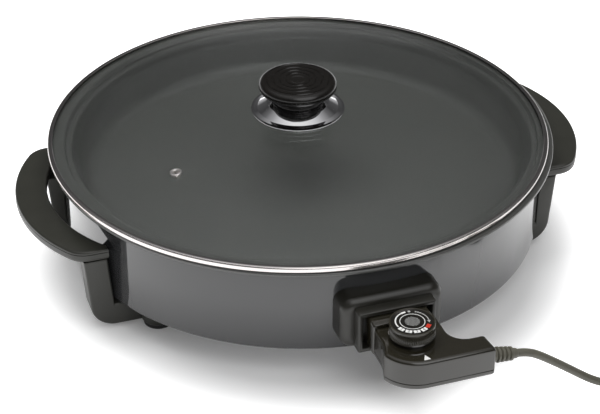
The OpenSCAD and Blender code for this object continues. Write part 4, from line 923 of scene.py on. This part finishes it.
def dial_print(materials):
    """The dial's plain marks: a hatched disc in a ring, two arcs, an arrow, a dot, four numbered
    blocks and a red stop mark."""
    white, grey, red = materials["white_paint"], materials["grey_paint"], materials["red_paint"]
    for half in (0, 1):
        flat_band(f"dial_ring_print_{half}", 8.9 * MM, 9.4 * MM, 180 * half, 180 * half + 180, white, 30)
    hatch_r, pitch, mark_r = 5.6 * MM, 1.2 * MM, 12.6 * MM
    for k in range(-4, 5):
        reach = math.sqrt(max(0.0, hatch_r ** 2 - (k * pitch) ** 2))
        if reach > pitch:
            bar = [(x, y + k * pitch) for x, y in rectangle(reach, 0.2 * MM)]
            plate(f"dial_hatch_{k + 4}", turned(bar, -38), grey)
    flat_band("dial_arc_left", 11.9 * MM, 12.9 * MM, 112, 194, white)
    flat_band("dial_arc_left_head", 11.5 * MM, 13.2 * MM, 93, 111, white)
    flat_band("dial_arc_right", 11.9 * MM, 12.6 * MM, -10, 36, grey)
    for k in range(3):
        flat_band(f"dial_dash_{k}", 11.7 * MM, 12.9 * MM, 38 + 8 * k, 44 + 8 * k, grey)
    arrow = [(-1.3 * MM, 0), (0, -2.8 * MM), (1.3 * MM, 0)]
    plate("dial_arrow", turned(arrow, -11, r=12.2 * MM), grey)
    dot = [(1.1 * MM * math.cos(t), 1.1 * MM * math.sin(t)) for t in [math.pi / 8 * k for k in range(16)]]
    plate("dial_dot", turned(dot, 80, r=12.4 * MM), grey)
    for k, text in enumerate(("1", "2", "3", "4")):
        deg = -150 + 27 * k
        block = filleted(rectangle(1.6 * MM, 2.4 * MM), 0.3 * MM, 2)
        plate(f"dial_block_{text}", turned(block, deg, r=mark_r), white)
        numeral(f"dial_number_{text}", text, deg, mark_r, 3.6 * MM, materials["tie_black"])
    plate("dial_red_mark", turned(rectangle(1.6 * MM, 2.2 * MM), -44, r=mark_r), red)


# ---------------------------------------------------------------- vent

def vent_piece(materials):
    """The vent: an open steel eyelet, square to the dome."""
    low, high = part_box("vent_eyelet")
    ball_centre = Vector((LID_X, 0, BALL_Z))
    axis = ((low + high) / 2 - ball_centre).normalized()
    seat = ball_centre + axis * BALL_R
    side = axis.orthogonal().normalized()
    other = axis.cross(side)
    rows = [(2.2, -4.8), (4.0, -4.8), (4.0, -4.3), (2.7, -4.2), (2.7, -0.05), (4.8, -0.05), (4.8, 0.25),
            (4.5, 0.55), (3.9, 0.75), (3.3, 0.75), (2.7, 0.5), (2.2, 0.0)]
    rings = [hoop(seat + axis * (z * MM), side, other, r * MM, 48) for r, z in rows]
    tube("vent_grommet", rings, body="lid", material=materials["eyelet_steel"], slot="rim_steel",
         replaces=("vent_eyelet",), sharp_deg=50)


# ---------------------------------------------------------------- stage and light

# The floor's painted glow, as (metres from GLOW_MIDDLE, level): weak near the pan and full beyond it, so it
# paints the floor white further out and leaves a painted shade round the foot, on top of the lamp's shadow.
# GLOW_ENDS are its levels at 0 and 1 m, MIRRORED_GLOW is its share in what mirrors the floor.
PAINTED_FLOOR_GLOW = ((0.186, 0.11), (0.205, 0.27), (0.228, 0.59), (0.260, 0.97), (0.5, 1.0))
GLOW_ENDS, GLOW_MIDDLE = (0.12, 1.0), (0.003, -0.022, 0)
FLOOR_COLOUR, MIRRORED_GLOW = (0.9, 0.9, 0.9, 1), 0.7
FLOOR_REACH = 6.0

# The room that shiny things mirror, as (sine of the elevation, level), its levels at 0 and 1, and a
# soft box in it, whose edge is given by cosines of the angle off its aim
ROOM_LEVELS = ((0.10, 0.30), (0.20, 0.08), (0.50, 0.05), (0.66, 0.14), (0.80, 0.34), (0.90, 0.60))
ROOM_ENDS, ROOM_BLUE = (0.50, 0.85), 1.02
SOFT_BOX_AIM = (0.12, -0.62, 0.77)
SOFT_BOX_EDGE, SOFT_BOX_STRENGTH = (0.86, 0.95), 1.5

KEY_PLACE, KEY_AIM, KEY_SIZE, KEY_WATTS = (-0.06, 0.56, 1.65), (0, 0, 0.05), (1.9, 0.7), 25


def grey_ramp(nodes, value, ends, levels, blue=1.0):
    """The grey that a ramp gives a value: its two ends, and levels at places between them."""
    ramp = nodes.new("ShaderNodeValToRGB")
    for element, level in zip(ramp.color_ramp.elements, ends):
        element.color = (level, level, level, 1)
    for place, level in levels:
        ramp.color_ramp.elements.new(place).color = (level, level, level * blue, 1)
    return feed(ramp, value)


def math_node(nodes, operation, *values):
    """The result of a Math node, from sockets or numbers."""
    node = nodes.new("ShaderNodeMath")
    node.operation = operation
    return feed(node, *values)


def seen_directly(nodes):
    """1 for what the camera sees, straight or through the glass, and 0 for light and reflections."""
    path = nodes.new("ShaderNodeLightPath").outputs
    unmirrored = math_node(nodes, "LESS_THAN", path["Glossy Depth"], 0.5)
    through = math_node(nodes, "MULTIPLY", path["Is Transmission Ray"], unmirrored)
    return math_node(nodes, "MAXIMUM", path["Is Camera Ray"], through)


def make_floor():
    """A white floor that takes the object's shadow, with a painted glow of its own that is weak near the pan,
    which paints shade round it, and full beyond it.
    """
    mesh = bpy.data.meshes.new("floor")
    corners = [(x, y, 0) for x, y in rectangle(FLOOR_REACH, FLOOR_REACH)]
    mesh.from_pydata(corners, [], [[0, 1, 2, 3]])
    floor = bpy.data.objects.new("floor", mesh)
    bpy.context.scene.collection.objects.link(floor)
    floor.location = GLOW_MIDDLE
    material = bpy.data.materials.new("floor")
    material.use_nodes = True
    nodes, links = nodes_of(material)
    shader = nodes["Principled BSDF"]
    fill(shader, {"Base Color": FLOOR_COLOUR, "Roughness": 0.9, "Specular IOR Level": 0.0})
    away = nodes.new("ShaderNodeVectorMath")
    away.operation = "LENGTH"
    feed(away, nodes.new("ShaderNodeTexCoord").outputs["Object"])
    # Painted glow by distance from GLOW_MIDDLE: dim near the pan, which paints shade round the foot, and
    # white further out.
    white = grey_ramp(nodes, away.outputs["Value"], GLOW_ENDS, PAINTED_FLOOR_GLOW)
    path = nodes.new("ShaderNodeLightPath").outputs
    mirrored = math_node(nodes, "MULTIPLY", path["Is Glossy Ray"], MIRRORED_GLOW)
    shown = math_node(nodes, "MAXIMUM", seen_directly(nodes), mirrored)
    glow = feed(nodes.new("ShaderNodeEmission"), white, shown)
    both = feed(nodes.new("ShaderNodeAddShader"), shader.outputs[0], glow)
    links.new(both, nodes["Material Output"].inputs["Surface"])
    mesh.materials.append(material)


def make_world():
    """White where it is seen directly; elsewhere a dark room with a bright top and a soft box."""
    world = bpy.data.worlds.new("studio")
    bpy.context.scene.world = world
    world.use_nodes = True
    nodes, links = nodes_of(world)
    nodes.clear()
    place = nodes.new("ShaderNodeTexCoord").outputs
    split = nodes.new("ShaderNodeSeparateXYZ")
    feed(split, place["Generated"])
    room = grey_ramp(nodes, split.outputs["Z"], ROOM_ENDS, ROOM_LEVELS, ROOM_BLUE)
    aim = nodes.new("ShaderNodeVectorMath")
    aim.operation = "DOT_PRODUCT"
    feed(aim, place["Object"], Vector(SOFT_BOX_AIM).normalized())
    box = nodes.new("ShaderNodeMapRange")
    box.interpolation_type = "SMOOTHSTEP"
    fill(box, {"From Min": SOFT_BOX_EDGE[0], "From Max": SOFT_BOX_EDGE[1], "To Max": SOFT_BOX_STRENGTH})
    links.new(aim.outputs["Value"], box.inputs["Value"])
    total = nodes.new("ShaderNodeMix")
    total.data_type = "RGBA"
    total.blend_type = "ADD"
    total.inputs[0].default_value = 1.0
    links.new(room, total.inputs[6])
    links.new(box.outputs["Result"], total.inputs[7])
    dim = feed(nodes.new("ShaderNodeBackground"), total.outputs[2])
    white = feed(nodes.new("ShaderNodeBackground"), (1, 1, 1, 1))
    mix = feed(nodes.new("ShaderNodeMixShader"), seen_directly(nodes), dim, white)
    links.new(mix, nodes.new("ShaderNodeOutputWorld").inputs["Surface"])


def make_lights():
    """One broad lamp, high up behind the object; nothing mirrors it."""
    data = bpy.data.lights.new("key", "AREA")
    data.shape = "RECTANGLE"
    data.size, data.size_y = KEY_SIZE
    data.energy = KEY_WATTS
    lamp = bpy.data.objects.new("key", data)
    bpy.context.scene.collection.objects.link(lamp)
    lamp.location = KEY_PLACE
    lamp.rotation_euler = (Vector(KEY_AIM) - Vector(KEY_PLACE)).to_track_quat("-Z", "Y").to_euler()
    lamp.visible_glossy = False
    lamp.visible_transmission = False


# ---------------------------------------------------------------- make everything

make_camera()
materials = make_materials()
dress_cad_nodes(materials)
mains_lead(materials)
pan_piece(materials)
jacket_piece(materials)
lid_pieces(materials)
knob_pieces(materials)
grip_pieces(materials)
shroud_piece(materials)
mouth_frame_piece(materials)
thermostat_pieces(materials)
strain_relief_piece(materials)
dial_knob_piece(materials)
dial_print(materials)
vent_piece(materials)
leg_pieces(materials)
make_floor()
make_world()
make_lights()
bpy.context.scene.view_settings.view_transform = "Standard"
